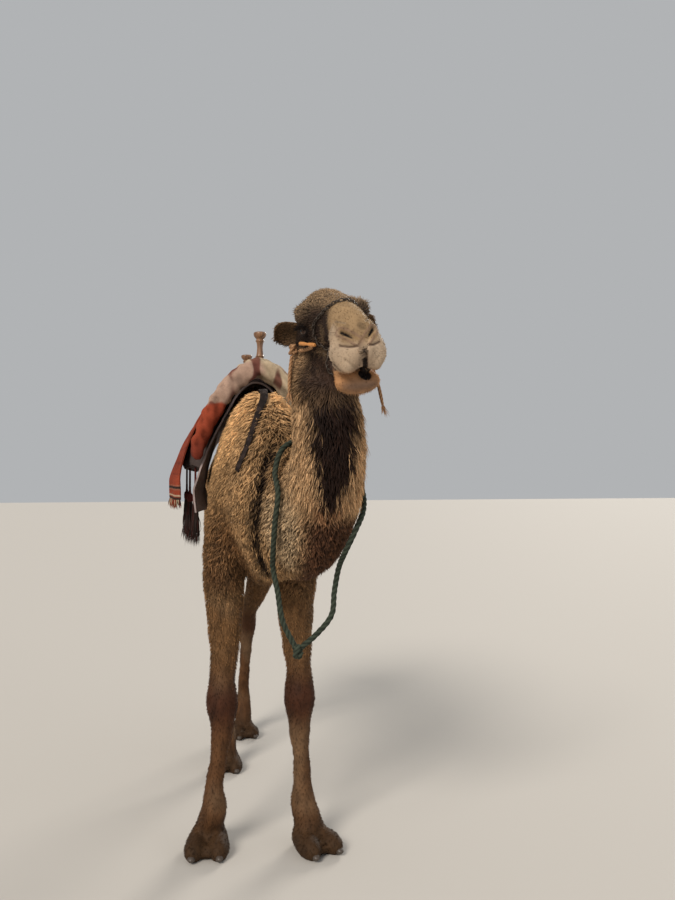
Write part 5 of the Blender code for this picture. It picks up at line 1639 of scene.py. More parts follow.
def markings_and_shade(points, kinds):
    """The colour of the coat at each point from its place on the body, with some painted light
    and shade.
    """
    r = regions(points)
    x, y, z = points.T
    left, forward, up = in_head_frame(points).T
    side = np.abs(left)
    ahead, aside = neck_place(points)
    colour = np.tile(TAN, (len(points), 1))

    def over(tint, weight):
        nonlocal colour
        weight = np.clip(weight, 0, 1)[:, None]
        colour = colour * (1 - weight) + tint * weight

    patch = 0.5 + 0.5 * cloud(points, 0.30, 11)
    # Partly the fleece's own colour and partly painted light and shade: the trunk is lighter on
    # its top and darker down the shoulders and the belly.
    over(TAN * 2.1, r["trunk"] * ramp(z, 1.50, 1.66) * ramp(-y, -0.20, 0.0))
    over(SHOULDER, 0.90 * r["trunk"] * ramp(-z, -1.52, -1.28) * ramp(-y, -0.30, 0.05))
    over(BELLY_BROWN, 0.7 * r["trunk"] * ramp(-z, -1.28, -1.10))
    over(TAN * 0.72, 0.5 * r["trunk"] * patch)
    over(NECK_LIGHT, r["neck"])
    over(TAN, 0.8 * r["neck"] * ramp(y, -0.46, -0.36))
    low = ramp(-z, -1.46, -1.34) * r["neck"]
    over(CHEST_BROWN, low * ramp(x, 0.050, 0.115))
    over(CHEST_PALE, r["neck"] * ramp(-z, -1.52, -1.42) * ramp(-x, -0.085, -0.045)
         * ramp(-y, 0.36, 0.44))
    half = np.interp(z, [1.30, 1.345, 1.45, 1.60, 1.80, 2.00],
                     [-0.05, -0.030, 0.026, 0.058, 0.080, 0.095])
    wander = 0.010 * cloud(points, 0.05, 12)
    over(RUST, r["neck"] * bell(np.abs(aside) - half - 0.012, 0.016) * ramp(-z, -1.52, -1.42)
         * ramp(ahead, 0.03, 0.08))
    # The throat is near-black: its long dark hair, with painted shade where it hangs.
    over(THROAT, r["neck"] * ramp(half - np.abs(aside) + wander, -0.016, 0.014)
         * ramp(ahead, -0.01, 0.05) * ramp(z, 1.30, 1.36))
    over(LEG_BROWN, r["leg"])
    over(SHIN_TAN, r["shin"])
    over(CHEST_PALE * 0.7, 0.18 * r["leg"] * (1 - r["foot"]) * ramp(0.35 - patch, -0.2, 0.2))
    knee = np.where(y < 0.5, bell(z - KNEE, 0.10), 0.6 * bell(z - HOCK, 0.09))
    over(KNEE_RED, 1.2 * r["shin"] * knee * (0.75 + 0.25 * patch))
    over(LEG_BROWN * 0.20, r["foot"] * ramp(-z, -0.17, -0.04) * 0.9)
    over(THROAT * 1.6, r["tail"] * ramp(-z, -1.22, -1.05))
    head = r["head"]
    # The head starts in the near-black of the cheeks, which stays on the cheeks and jaws: partly
    # dark hair, partly painted shade.
    over(CHEEK, head)
    over(CROWN, head * ramp(up, 0.022, 0.062) * ramp(-forward, -0.235, -0.150))
    strands_light = ramp(cloud(points * np.array([1, 1, 0.12]), 0.030, 14), 0.0, 0.5)
    over(NECK_LIGHT * 0.8, head * ramp(side, 0.060, 0.085) * ramp(-up, 0.075, 0.115)
         * ramp(-forward, -0.02, 0.05))
    over(NECK_LIGHT * 0.6, 0.5 * head * strands_light * ramp(-up, 0.05, 0.10)
         * ramp(-forward, -0.10, 0.0))
    over(CROWN * 0.6, 0.7 * head * strands_light * ramp(forward, 0.02, 0.06)
         * ramp(-forward, -0.16, -0.10) * ramp(-up, -0.01, 0.02))
    over(BRIDGE, head * ramp(0.060 - side, -0.012, 0.014) * ramp(forward, 0.150, 0.200)
         * ramp(up, -0.015, 0.012))
    over(BRIDGE, head * ramp(forward + 0.25 * up, 0.150, 0.205))
    stain = ramp(cloud(points, 0.045, 15), 0.05, 0.45)
    over(BRIDGE * 0.45, 0.75 * (0.35 + 0.65 * stain) * head * ramp(forward, 0.25, 0.30)
         * ramp(up, -0.040, -0.018) * ramp(-up, -0.035, -0.005))
    over(MUZZLE, head * ramp(forward, 0.22, 0.27) * ramp(-up, 0.030, 0.065))
    over(MUZZLE, 0.8 * head * ramp(forward, 0.20, 0.26) * ramp(side, 0.050, 0.070))
    over(CHEEK * 3.0, head * ramp(-up, 0.10, 0.14) * ramp(-forward, -0.20, -0.13)
         * ramp(forward, -0.02, 0.05))
    over(CHIN, head * ramp(forward, 0.17, 0.22) * ramp(-up, 0.125, 0.150))
    over(UNDERLIP, head * bell(forward - 0.330, 0.045) * bell(up + 0.186, 0.020)
         * ramp(0.062 - side, -0.012, 0.012))
    over(CROWN * 1.15, 0.8 * head * bell(side - 0.105, 0.030) * bell(forward + 0.01, 0.05)
         * bell(up - 0.030, 0.020))
    over(CHEEK * 1.5, 0.9 * head * bell(side - 0.070, 0.025) * bell(forward - 0.09, 0.05)
         * bell(up - 0.040, 0.040))
    lines = face_lines(points)
    over(LIP, 0.85 * head * bell(np.clip(1 - lines["mouth"], 0, 1), 0.75))
    over(LIP, 0.35 * head * ramp(-up, 0.075, 0.12) * ramp(forward, 0.29, 0.32)
         * ramp(0.05 - side, 0, 0.02))
    # The mouth line, the mouth's opening, the nostril slits, the folds, the crease under the
    # nostrils and the split of the lip are painted dark: painted shade in these grooves.
    over(DARK, head * ramp(lines["mouth"], 0.55, 0.95))
    over(DARK, head * ramp(lines["opening"], 0.34, 0.52))
    over(LIP, 0.7 * head * ramp(lines["rim"], 0.4, 1.0) * ramp(-lines["nostril"], -0.5, 0))
    over(DARK, head * ramp(lines["nostril"], 0.35, 0.75))
    over(MUZZLE * 0.50, 0.6 * head * ramp(lines["fold"], 0.3, 1.0))
    over(LIP * 0.5, 0.9 * head * ramp(lines["crease"], 0.35, 0.9))
    over(MUZZLE * 1.12, 0.5 * head * ramp(lines["lobe"], 0.4, 0.9))
    over(LIP * 0.8, 0.6 * head * ramp(lines["split"], 0.03, 0.25))
    over(DARK, 0.97 * head * ramp(lines["split"], 0.16, 0.46))
    over(DARK * 1.5, (kinds == LID) * 0.9)
    over(EAR_BROWN, (kinds == EAR_BACK) * 1.0)
    # The cup is a little darker than the back of the ear: painted shade in its hollow.
    over(EAR_BROWN * 0.85, (kinds == EAR_CUP) * 1.0)
    # Painted shade in the crease where the shoulder meets the neck.
    over(SHOULDER * 0.10, np.clip(1.5 * shoulder_fold(points, 0.030), 0, 1))
    streak = cloud(points * np.array([1, 1, 0.25]), 0.035, 13)
    swing = (1 - head * 0.6) * (0.22 * streak + 0.14 * cloud(points, 0.09, 16))
    return colour * np.clip(1 + swing, 0.3, 2)[:, None]


# %% [markdown]
# ## The coat
# Real wool can't be simulated hair by hair here, so the coat is made of solid locks, a few
# millimetres wide, laid over the skin like thatch. Where a lock grows, how long it is and which
# way it lies are functions of its place on the body. The fleece is crimped: all its locks share
# one wave that runs along the lie of the coat, so its crests line up in crinkled rows.

# %% Where locks grow
STRAP_STATIONS = np.array([  # the shoulder strap, which has no coat under it
    (0.020, 0.280, 1.880), (0.005, 0.080, 1.870), (-0.009, -0.100, 1.845),
    (-0.045, -0.205, 1.765), (-0.080, -0.262, 1.666), (-0.106, -0.265, 1.594),
    (-0.128, -0.250, 1.534)])
STRAP_ROUTE = laid(STRAP_STATIONS, 0.0)


def sow(points, triangles, density):
    """Roots spread evenly over the triangles, so many to the square metre as density gives.

    Returns for each root the triangle it lies on and its place as three shares.
    """
    a, b, c = (points[triangles[:, k]] for k in range(3))
    area = np.linalg.norm(np.cross(b - a, c - a), axis=1) / 2
    total = np.cumsum(area * density)
    count = int(total[-1])
    chosen = np.searchsorted(total, (np.arange(count) + RNG.random(count)) / count * total[-1])
    u, v = RNG.random((2, count))
    u, v = np.where(u + v > 1, 1 - u, u), np.where(u + v > 1, 1 - v, v)
    return np.minimum(chosen, len(triangles) - 1), np.column_stack([1 - u - v, u, v])


def brow_place(points):
    """Where the tufted brows are, above and before each eye, from 0 to 1."""
    left, forward, up = in_head_frame(points).T
    return (bell(np.abs(left) - 0.092, 0.032) * bell(forward - 0.030, 0.050)
            * bell(up - 0.042, 0.028))


def coat_measures(points, kinds):
    """Length, width and locks per square metre of the coat at each point."""
    r = regions(points)
    x, y, z = points.T
    _, forward, up = in_head_frame(points).T
    ahead, _ = neck_place(points)
    length = 0.036 * r["trunk"] + 0.046 * r["neck"] + 0.014 * r["leg"] + 0.050 * r["tail"]
    length -= 0.022 * r["neck"] * ramp(-z, -1.50, -1.40) * ramp(-y, 0.34, 0.42)
    length += 0.011 * r["head"]
    width = 0.0068 * r["trunk"] + 0.0068 * r["neck"] + 0.0040 * r["leg"] + 0.0050 * r["tail"]
    width += 0.0030 * r["head"]
    many = 16900 * r["trunk"] + 17800 * r["neck"] + 12600 * r["leg"] + 25000 * r["tail"]
    many += 30000 * r["head"]
    throat = r["neck"] * ramp(ahead, 0.02, 0.08) * ramp(z, 1.34, 1.48)
    length += 0.034 * throat
    shin = r["shin"]
    length = length * (1 - shin) + 0.0095 * shin
    width = width * (1 - shin) + 0.0028 * shin
    knee = bell(z - KNEE, 0.05) * ramp(-y, 0.0, 0.1)
    many = (many * (1 - shin) + 9500 * shin) * (1 - 0.7 * knee)
    tip = r["tail"] * ramp(-z, -1.15, -1.02)
    length += 0.045 * tip
    crown = r["head"] * ramp(up, 0.015, 0.060) * ramp(-forward, -0.075, -0.010)
    jowl = r["head"] * ramp(-forward, -0.03, 0.03) * ramp(-up, 0.05, 0.10)
    length += 0.020 * crown + 0.022 * jowl
    width += 0.0030 * crown + 0.0030 * jowl
    muzzle = r["head"] * ramp(forward, 0.13, 0.20)
    length = length * (1 - muzzle) + 0.0050 * muzzle
    width = width * (1 - muzzle) + 0.0014 * muzzle
    many = many * (1 - muzzle) + 14000 * muzzle
    brow = brow_place(points)
    length += 0.016 * brow
    width += 0.0020 * brow
    ear = np.isin(kinds, (EAR_BACK, EAR_CUP))
    length, width = np.where(ear, 0.014, length), np.where(ear, 0.0030, width)
    many = np.where(ear, 42000, many)
    lines = face_lines(points)
    bare_keys = ("nostril", "opening", "mouth", "split", "crease")
    bare = np.maximum.reduce([lines[key] for key in bare_keys])
    many = many * (1 - ramp(bare, 0.25, 0.5))
    for centre in EYE_PLACES.values():
        many = many * ramp(np.linalg.norm(points - centre, axis=1), 0.0275, 0.033)
    many = many * (kinds != LID) * ramp(z, 0.012, 0.030)
    strap = (z > 1.45) & (y > -0.34) & (y < 0.32) & (np.abs(x + 0.05) < 0.14)
    many[strap] *= ramp(distance_to(points[strap], STRAP_ROUTE), 0.019, 0.028)
    covered = ramp(y, 0.375, 0.400) * ramp(-y, -1.045, -1.020) * ramp(z, 1.40, 1.44)
    return length, width, many * (1 - covered)


def lie_of_coat(points, normals, kinds):
    """Unit directions in the skin along which the coat lies, with a little wandering."""
    r = regions(points)
    _, y, z = points.T
    left, forward, up = in_head_frame(points).T
    _, toward_nose, toward_crown = HEAD_AXES
    shoulder = ramp(-y, -0.25, 0.05)[:, None]
    way = r["trunk"][:, None] * (
        (1 - shoulder) * np.array([0, 0.66, -0.75]) + shoulder * np.array([0, 0.22, -0.97])
    )
    base = ramp(-z, -1.50, -1.36)[:, None]
    way = way + r["neck"][:, None] * (
        (1 - base) * np.array([0, 0.10, -1.0]) + base * np.array([0, 0.45, -0.9])
    )
    way = way + (r["leg"] + r["tail"])[:, None] * np.array([0, 0.08, -1.0])
    drop = ramp(-up, 0.0, 0.10)[:, None]
    way = way + r["head"][:, None] * (-toward_nose - drop * 0.45 * toward_crown)
    ear = np.isin(kinds, (EAR_BACK, EAR_CUP))
    for sign in (-1, 1):
        _, tip, _ = ear_grids(sign, 3, 3)
        way = np.where((ear & (left * sign > 0))[:, None], tip, way)
    way = unit(way - (way * normals).sum(1)[:, None] * normals)
    side = np.cross(normals, way)
    crown = r["head"] * ramp(up, 0.02, 0.06) * ramp(-forward, -0.06, 0.0)
    turn = (0.30 - 0.16 * r["neck"]) * cloud(points, 0.16, 21)
    turn = turn + (0.16 - 0.06 * r["neck"] + 0.7 * crown) * RNG.normal(size=len(points))
    turn = turn * np.where(ear, 0.5, 1.0)
    way = np.cos(turn)[:, None] * way + np.sin(turn)[:, None] * side
    return way


# %% The skin itself
skin = new_mesh("skin", skin_points, skin_faces, outwards=False)
floor_level = np.maximum(coordinates(skin)[:, 2], 0.0012)
skin_points = np.column_stack([coordinates(skin)[:, :2], floor_level])
set_coordinates(skin, skin_points)
skin_colours = markings_and_shade(skin_points, skin_kinds)
# Painted shade: the skin is darker where the coat over it is long.
short = ramp(-coat_measures(skin_points, skin_kinds)[0], -0.013, -0.007)
paint(skin, "markings_and_shade", skin_colours * (0.60 + 0.40 * short)[:, None])
flesh_nodes = ["head", "neck", "trunk", "tail", "ear_left", "ear_right"]
for end in ("front", "hind"):
    for side in ("left", "right"):
        flesh_nodes += [f"{end}_{side}_{part}" for part in ("upper", "lower", "foot")]
add_piece("skin", skin, HIDE, "coat", flesh_nodes, sharp=70)
print("skin replaces", len(flesh_nodes), "solids")

# %% The coat's place on the flattened skin
def flat_place(points, kinds):
    """Where each point lies on the skin cut open and laid flat, part by part.

    Across its own part of the sheet a point goes by its turn round the limb or trunk, and up the
    part by its place along the limb, so neighbours on the body stay neighbours on the sheet.
    """
    x, y, z = points.T
    r = regions(points)
    left, forward, up = in_head_frame(points).T
    ahead, aside = neck_place(points)
    hind, leftwards = y > 0.55, x > swayed(1.0)
    parts = [
        (r["trunk"] > 0.5, 0, np.arctan2(x - SWAY * y, z - TRUNK_MIDDLE), (y + 0.35) / 2.0),
        (r["neck"] > 0.5, 1, np.arctan2(aside, ahead), (z - 1.10) / 1.1),
        (r["head"] > 0.5, 2, np.arctan2(left, up + 0.04), (forward + 0.25) / 0.65),
        (r["tail"] > 0.5, 3, np.arctan2(x - 0.05, y - RUMP - 0.11), (z - 0.85) / 0.7),
    ]
    index = 4
    for at_back in (False, True):
        for at_left in (False, True):
            name = ("hind" if at_back else "front") + ("_left" if at_left else "_right")
            rows = np.array(LEGS[name])
            order = np.argsort(rows[:, 2])
            middle_x = np.interp(z, rows[order, 2], rows[order, 0])
            middle_y = np.interp(z, rows[order, 2], rows[order, 1])
            chosen = (r["leg"] > 0.5) & (hind == at_back) & (leftwards == at_left)
            parts.append((chosen, index, np.arctan2(x - middle_x, y - middle_y), z / 1.15))
            index += 1
    ear = np.isin(kinds, (EAR_BACK, EAR_CUP))
    half_turn = np.where(kinds == EAR_CUP, 0, -math.pi)
    parts.append((ear, 8, half_turn + 2.5 * np.abs(up + 0.1), 8 * np.abs(left) - 0.6))
    place = np.full((len(points), 2), 0.01)
    for chosen, index, angle, along in parts:
        column, row = index % 3, index // 3
        across = 0.03 + 0.94 * (angle / (2 * math.pi) + 0.5)
        upwards = 0.03 + 0.94 * np.clip(along, 0, 1)
        both = np.column_stack([(column + across) / 3, (row + upwards) / 3])
        place = np.where(chosen[:, None], both, place)
    return np.clip(place, 0.003, 0.997)


# %% Growing the locks
PATCH = 0.003
CRIMP = 0.021


def grow(name, chosen, roots, stations):
    """One piece of the coat: a lock on each chosen root, painted and placed on the flat skin.

    A lock starts just under the skin and goes along the lie of the coat while it rises to the
    outline. It waves from side to side, and the shared crimp lifts and lowers it. Its colour has
    painted shade in it: darker towards the root, and in the troughs of the crimp.
    """
    point, normal, way = (roots[key][chosen] for key in ("point", "normal", "way"))
    length, width, kinds = (roots[key][chosen] for key in ("length", "width", "kind"))
    count = len(point)
    r = regions(point)
    woolly = r["trunk"] + r["neck"] * (1 - roots["throat"][chosen])
    side = np.cross(way, normal)
    s = np.linspace(0, 1, stations)[None, :]
    depth = coat_depth(point)[:, None]
    depth = np.where(np.isin(kinds, (EAR_BACK, EAR_CUP))[:, None], 0.002, depth)
    stand = (0.9 + 0.5 * RNG.random(count))[:, None]
    rise = depth * (-0.30 + 1.25 * s**0.65) * stand + roots["loose"][chosen][:, None] * s**2
    run = length[:, None] * s
    phase = RNG.random(count)[:, None] * 2 * math.pi
    curl = (0.10 + 0.10 * woolly[:, None]) * length[:, None]
    sway = curl * (np.sin(phase + s * 3.6) - np.sin(phase))
    line = point[:, None] + way[:, None] * run[..., None] + normal[:, None] * rise[..., None]
    line = line + side[:, None] * sway[..., None]
    flat = line.reshape(-1, 3)
    wave = flat[:, 2] / CRIMP + 0.9 * cloud(flat, 0.11, 31) + 0.35 * cloud(flat, 0.035, 32)
    crest = 0.5 + 0.5 * np.sin(2 * math.pi * wave).reshape(count, stations)
    line = line + normal[:, None] * (woolly[:, None] * s * (crest - 0.5) * 0.0065)[..., None]
    line[..., 2] = np.maximum(line[..., 2], 0.002)
    points, groups = lock_mesh(line, normal, width)
    mesh = new_mesh(name, points, groups)
    tone = markings_and_shade(point, kinds) * (0.62 + 0.85 * RNG.random(count) ** 1.3)[:, None]
    up_lock = np.append(np.repeat(s[0, :-1], 3), 1.0)
    long = ramp(length, 0.006, 0.016)[:, None]
    # Painted shade within the coat: a long lock is darker towards its root, and the fleece is
    # darker in the troughs of its crimp.
    painted_lock_shade = 0.92 - 0.58 * long + (0.12 + 0.74 * long) * up_lock[None, :] ** 0.8
    crests = np.concatenate([np.repeat(crest[:, :-1], 3, axis=1), crest[:, -1:]], axis=1)
    painted_lock_shade = painted_lock_shade * (1 - woolly[:, None] * 0.58 * (1 - crests))
    paint(mesh, "markings_and_shade", (tone[:, None] * painted_lock_shade[..., None]).reshape(-1, 3))
    corner = np.append(np.tile([-0.5, 0.0, 0.5], stations - 1), 0.0) * PATCH
    spot = np.column_stack([corner, (up_lock - 0.5) * PATCH])
    places = flat_place(point, kinds)[:, None] + spot[None]
    unwrapped(mesh, "OFBake", places.reshape(-1, 2))
    add_piece(name, mesh, HAIR, "coat", sharp=180)


def coat_roots():
    """Every root with its place, normal, direction and measures."""
    triangles = np.concatenate([as_triangles(g) for g in skin_faces])
    normals = np.empty(len(skin_points) * 3, np.float32)
    skin.vertex_normals.foreach_get("vector", normals)
    normals = normals.reshape(-1, 3).astype(float)
    middle = skin_points[triangles].mean(1)
    order = np.lexsort([middle[:, 1] // 0.03, middle[:, 2] // 0.03])
    triangles, middle = triangles[order], middle[order]
    _, _, many = coat_measures(middle, skin_kinds[triangles[:, 0]])
    chosen, share = sow(skin_points, triangles, many * (1.0))
    corners = triangles[chosen]
    point = (skin_points[corners] * share[..., None]).sum(1)
    normal = unit((normals[corners] * share[..., None]).sum(1))
    kinds = skin_kinds[corners[:, 0]]
    length, width, _ = coat_measures(point, kinds)
    ahead, _ = neck_place(point)
    r = regions(point)
    throat = r["neck"] * ramp(ahead, 0.03, 0.09) * ramp(point[:, 2], 1.34, 1.46)
    found = {
        "point": point, "normal": normal, "kind": kinds, "throat": throat,
        "way": lie_of_coat(point, normal, kinds),
        "length": length * (0.70 + 0.6 * RNG.random(len(point))),
        "width": width * (0.75 + 0.5 * RNG.random(len(point))),
        "loose": (0.010 * throat + 0.014 * brow_place(point)) * RNG.random(len(point)),
    }
    return found, r


roots, root_regions = coat_roots()
STATIONS = {"head": 4, "neck": 5, "trunk": 4, "leg": 4, "tail": 5}  # points along a lock
PIECE_LIMIT = 185000  # triangles in one piece of the coat
belongs = np.stack([root_regions[key] for key in STATIONS]).argmax(0)
belongs = np.where(root_regions["shin"] > 0.5, list(STATIONS).index("leg"), belongs)
locks_made = 0
for index, (key, stations) in enumerate(STATIONS.items()):
    mine = np.flatnonzero(belongs == index)
    triangles_each = 6 * (stations - 2) + 4
    pieces = max(1, math.ceil(len(mine) * triangles_each / PIECE_LIMIT))
    for number, part in enumerate(np.array_split(mine, pieces), start=1):
        grow(f"coat_{key}_{number}", part, roots, stations)
        locks_made += len(part)
    print(f"coat of the {key}: {len(mine)} locks in {pieces} pieces")
print(locks_made, "locks in all")

# %% [markdown]
# ## Eyes, lashes and nails
# A camel's eye is large and nearly black, with a wide pupil that lies level. The ball is a grid
# of rings round the way it looks; its colours are painted by the angle off that way.

# %% Eyes
def eye_material():
    """A wet, nearly black ball."""
    made, tree, shader = material_of("wet eye", 0.10, shine=0.25)
    tree.links.new(attribute_colour(tree, "markings_and_shade"), shader.inputs["Base Color"])
    return made


EYE = eye_material()
for side, centre in EYE_PLACES.items():
    gaze, along, above = eye_axes(1 if side == "left" else -1)
    off = np.linspace(0.0, math.pi, 46)[1:-1, None]
    round_it = full_turn(56)[None, :]
    level, high = np.sin(off) * np.cos(round_it), np.sin(off) * np.sin(round_it)
    bulge = 1 + 0.035 * np.exp(-((off / 0.5) ** 2)) - 0.02
    grid = (
        (np.cos(off) * bulge + 0 * round_it)[..., None] * gaze
        + (level * bulge)[..., None] * along
        + (high * bulge)[..., None] * above
    )
    points, groups = closed_tube(centre + EYE_RADIUS * grid)
    local = (points - centre) / EYE_RADIUS
    angle = np.arccos(np.clip(local @ gaze / np.linalg.norm(local, axis=1), -1, 1))
    pupil = np.sqrt((local @ along / 0.34) ** 2 + (local @ above / 0.19) ** 2)
    pupil = np.where(local @ gaze > 0, pupil, 9)
    iris = ramp(-angle, -0.80, -0.72)[:, None]
    streak = 0.8 + 0.4 * cloud(local, 0.35, 41)[:, None] ** 2
    tone = np.array([0.050, 0.024, 0.012]) * streak * iris
    tone += np.array([0.10, 0.065, 0.05]) * (1 - iris)
    tone = tone * ramp(pupil, 0.95, 1.15)[:, None] + 0.002
    mesh = new_mesh(f"eyeball_{side}", points, groups)
    paint(mesh, "markings_and_shade", tone)
    add_piece(f"eyeball_{side}", mesh, EYE, "eye", [f"eye_{side}"], sharp=180)

# %% Lashes
for side, centre in EYE_PLACES.items():
    sign = 1 if side == "left" else -1
    rings = lid_grid(sign)
    gaze, along, above = eye_axes(sign)
    if above @ HEAD_AXES[2] < 0:
        above = -above
    rim = rings[2]
    upper = rim[(rim @ above) > 0.002]
    line = evenly(upper[np.argsort(upper @ along)], 64) + centre
    line = np.repeat(line, 2, axis=0)
    spread = ((line - centre) @ along / EYE_RADIUS)[:, None]
    way = 0.75 * gaze + 0.22 * above + 0.55 * spread * along + RNG.normal(0, 0.10, line.shape)
    way = unit(way)
    dark = np.tile(DARK * 1.2, (len(line), 1))
    lash_length = 0.017 + 0.010 * RNG.random(len(line))
    lashes = strands(f"lashes_{side}", line, way, lash_length, 0.0011, dark, HAIR, droop=0.55)
    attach(lashes, "root")

# %% Nails
NAIL_HALF = (0.015, 0.019, 0.0145)  # half-sizes across, along and up
for name, foot in FEET.items():
    made = []
    for toe, axes in toes(foot):
        centre = toe + foot[2] * 0.084 * axes[1] + np.array([0, 0, 0.020])
        points, groups = rough_ball((0, 0, 0), NAIL_HALF, 20, 28)
        points[:, 2] *= 1 - 0.35 * np.clip(points[:, 1] / NAIL_HALF[1], 0, 1)
        made.append((BODY, centre + foot[2] * points @ axes, groups))
    points, groups, _ = joined(made)
    points[:, 2] = np.maximum(points[:, 2], 0.0015)
    mesh = new_mesh(f"nails_{name}", points, groups)
    add_piece(f"nails_{name}", mesh, NAIL, "coat")
print("eyes, lashes and nails made")

# %% [markdown]
# ## The saddle
# A riding saddle of the desert is a wooden tree of two arches, one before the hump and one
# behind, on two long stuffed pads. A felt lies under it, and a woven rug is thrown over it all,
# its front edge rolled over the front arch. The section of the rug is one function, a roof with
# a rounded ridge, and everything under it is the same section taken a little deeper.

# %% Saddle dimensions
SADDLE_TOP = 2.052  # height of the rug over the hump
SADDLE_TURN = 1.49  # height where the rug starts to hang straight down
SADDLE_HALF = 0.374  # half the width there
TENT = 1.4  # how round the section is: 1 is a straight roof, 2 an ellipse
FRONT_TENT = 0.35  # how much rounder it is at the front
SADDLE_MIDDLE = 0.66
SADDLE_HALF_LENGTH = 0.345
RUG_THICK = 0.016
RUG_HEM = 1.405  # height of the rug's lower edges
FELT_GAP = 0.017  # room for the girth under the felt
FELT_THICK = 0.012
PAD_GAP = FELT_GAP + FELT_THICK + 0.010
ARCH_THICK = 0.030
FRONT_ARCH, REAR_ARCH = 0.378, 0.980
FRONT_POST_TOP, REAR_POST_TOP = 2.172, 2.150

# %% The saddle's section
def tent(y, depth, turn):
    """The saddle's section at y, depth inside its outer face; turn runs from -1 to 1.

    The section is a roof with a rounded ridge whose sides end up straight down.
    """
    turn = np.asarray(turn, float)
    angle = np.abs(turn) * math.pi / 2
    end = (y - SADDLE_MIDDLE) / SADDLE_HALF_LENGTH
    ends = end**2
    half = SADDLE_HALF - (0.056 if end < 0 else 0.032) * ends - depth
    power = 2 / (TENT + FRONT_TENT * min(end, 0) ** 2)
    rise = SADDLE_TOP - 0.015 * ends - SADDLE_TURN - depth
    x = np.sign(turn) * half * np.sin(angle) ** power
    z = SADDLE_TURN + rise * np.cos(angle) ** power
    return np.column_stack([x + swayed(0.6), np.full(len(turn), y), z])


def over_body(y, first, last, count, gap, lean=0.0):
    """Evenly spaced points round the trunk at y, gap above the coat; lean moves the top back.

    The turns are in degrees from the left side, over the back, to the right.
    """
    turns = np.radians(np.linspace(first, last, 121))
    rays = np.column_stack([np.cos(turns), 0 * turns, np.sin(turns)])
    back = y + lean * np.maximum(np.sin(turns), 0) ** 2
    middles = np.column_stack([0 * turns + swayed(y), back, 0 * turns + TRUNK_MIDDLE])
    return evenly(reached(flesh, middles, rays, gap), count)


def under_rug(y, turn, depth):
    """Points between rug and felt: on the rug's inner face, and below them above the felt."""
    outer = tent(y, RUG_THICK + depth, turn)
    middle = np.array([swayed(y), y, TRUNK_MIDDLE])
    rays = outer - middle
    far = np.linalg.norm(rays, axis=1)
    rays /= far[:, None]
    inner = reached(flesh, middle, rays, PAD_GAP)
    close = np.minimum(np.linalg.norm(inner - middle, axis=1), far - 0.008)
    return outer, middle + rays * close[:, None]


# %% Rug
PINK = np.array([0.47, 0.31, 0.23])
CREAM = np.array([0.56, 0.43, 0.285])
MADDER = np.array([0.310, 0.058, 0.027])
WINE = np.array([0.085, 0.016, 0.012])
SOOT = np.array([0.030, 0.020, 0.017])
LILAC = np.array([0.430, 0.340, 0.320])
HEM_EXTRA = 0.10  # how far past the turn the rug's sides hang, as a share of the section
RUG_CLEAR = 0.021  # from the middle of an arch to the edge of the rug


def cloth_piece(name, shape, dye_and_shade, flat, finish, slot, replaces, **settings):
    """A piece of cloth from its points and faces, with a colour of dye and painted shade, and a
    flat place, for each point.
    """
    mesh = new_mesh(name, *shape)
    paint(mesh, "dye_and_shade", dye_and_shade)
    unwrapped(mesh, "cloth", flat)
    return add_piece(name, mesh, finish, slot, replaces, **settings)


def facing_up(normals):
    """A sheet's directions, turned over if those in its middle point down."""
    rows, columns = normals.shape[:2]
    return normals if normals[rows // 2, columns // 2, 2] >= 0 else -normals


def blended(first, second, share):
    """Two colours mixed point by point: share is that of the second."""
    share = np.clip(share, 0, 1)[..., None]
    return first * (1 - share) + second * share


def rug_face(depth, turns, places):
    """The rug at a depth under its outer face: the roof section, then straight down to the hem.

    Low down it swings out in upright folds, which are sines along the rug that grow to the hem.
    """
    rows = []
    for y in places:
        line = tent(y, depth, np.clip(turns, -1, 1))
        past = np.clip((np.abs(turns) - 1) / HEM_EXTRA, 0, 1)
        line[:, 2] -= past * (SADDLE_TURN - RUG_HEM)
        low = np.clip((1.86 - line[:, 2]) / 0.36, 0, 1)
        fold = 0.008 * (1 + math.sin((y - FRONT_ARCH) * 21.0))
        tight = 0.0045 * np.sin(y * 74.0 + 2.0 * np.sin(line[:, 2] * 9.0)) * low
        line[:, 0] += np.sign(turns) * (fold * low + tight * low)
        swing = 0.012 * np.sin(line[:, 2] * 17.0 + np.sign(turns)) * low
        edge = ramp(abs(y - 0.68), 0.20, 0.28)
        line[:, 1] += swing * edge * np.sign(y - 0.68)
        rows.append(line)
    return np.array(rows)


turns = np.concatenate([
    np.linspace(-1 - HEM_EXTRA, -1, 16)[:-1], np.linspace(-1, 1, 190),
    np.linspace(1, 1 + HEM_EXTRA, 16)[1:]])
places = np.linspace(FRONT_ARCH + RUG_CLEAR, REAR_ARCH - RUG_CLEAR, 96)
rug_top = rug_face(0.002, turns, places)
ripple = cloud(rug_top.reshape(-1, 3) * np.array([1, 1.6, 1]), 0.16, 51)
rug_out = facing_up(grid_normals(rug_top))
rug_top = rug_top + rug_out * 0.0030 * (ripple.reshape(rug_top.shape[:2]) - 1)[..., None]
rug_under = rug_top - rug_out * 0.0065
points, groups = closed_shell(rug_top, rug_under)
height = points[:, 2] + 0.012 * cloud(points, 0.12, 52)
level = points[:, 2] * 2 * math.pi
stripe = np.sin(level / 0.060) + 0.5 * np.sin(level / 0.023)
dye_and_shade = blended(MADDER, WINE, 0.18 + 0.22 * cloud(points, 0.22, 53) + 0.30 * ramp(stripe, 0.7, 1.2))
change = 1.955 - 0.035 * ramp(-points[:, 1], -0.52, -0.42)
dye_and_shade = blended(dye_and_shade, CREAM, ramp(height, change - 0.008, change + 0.008))
dye_and_shade = blended(dye_and_shade, PINK, ramp(height, 2.00, 2.03))
up_hem = points[:, 2] - RUG_HEM
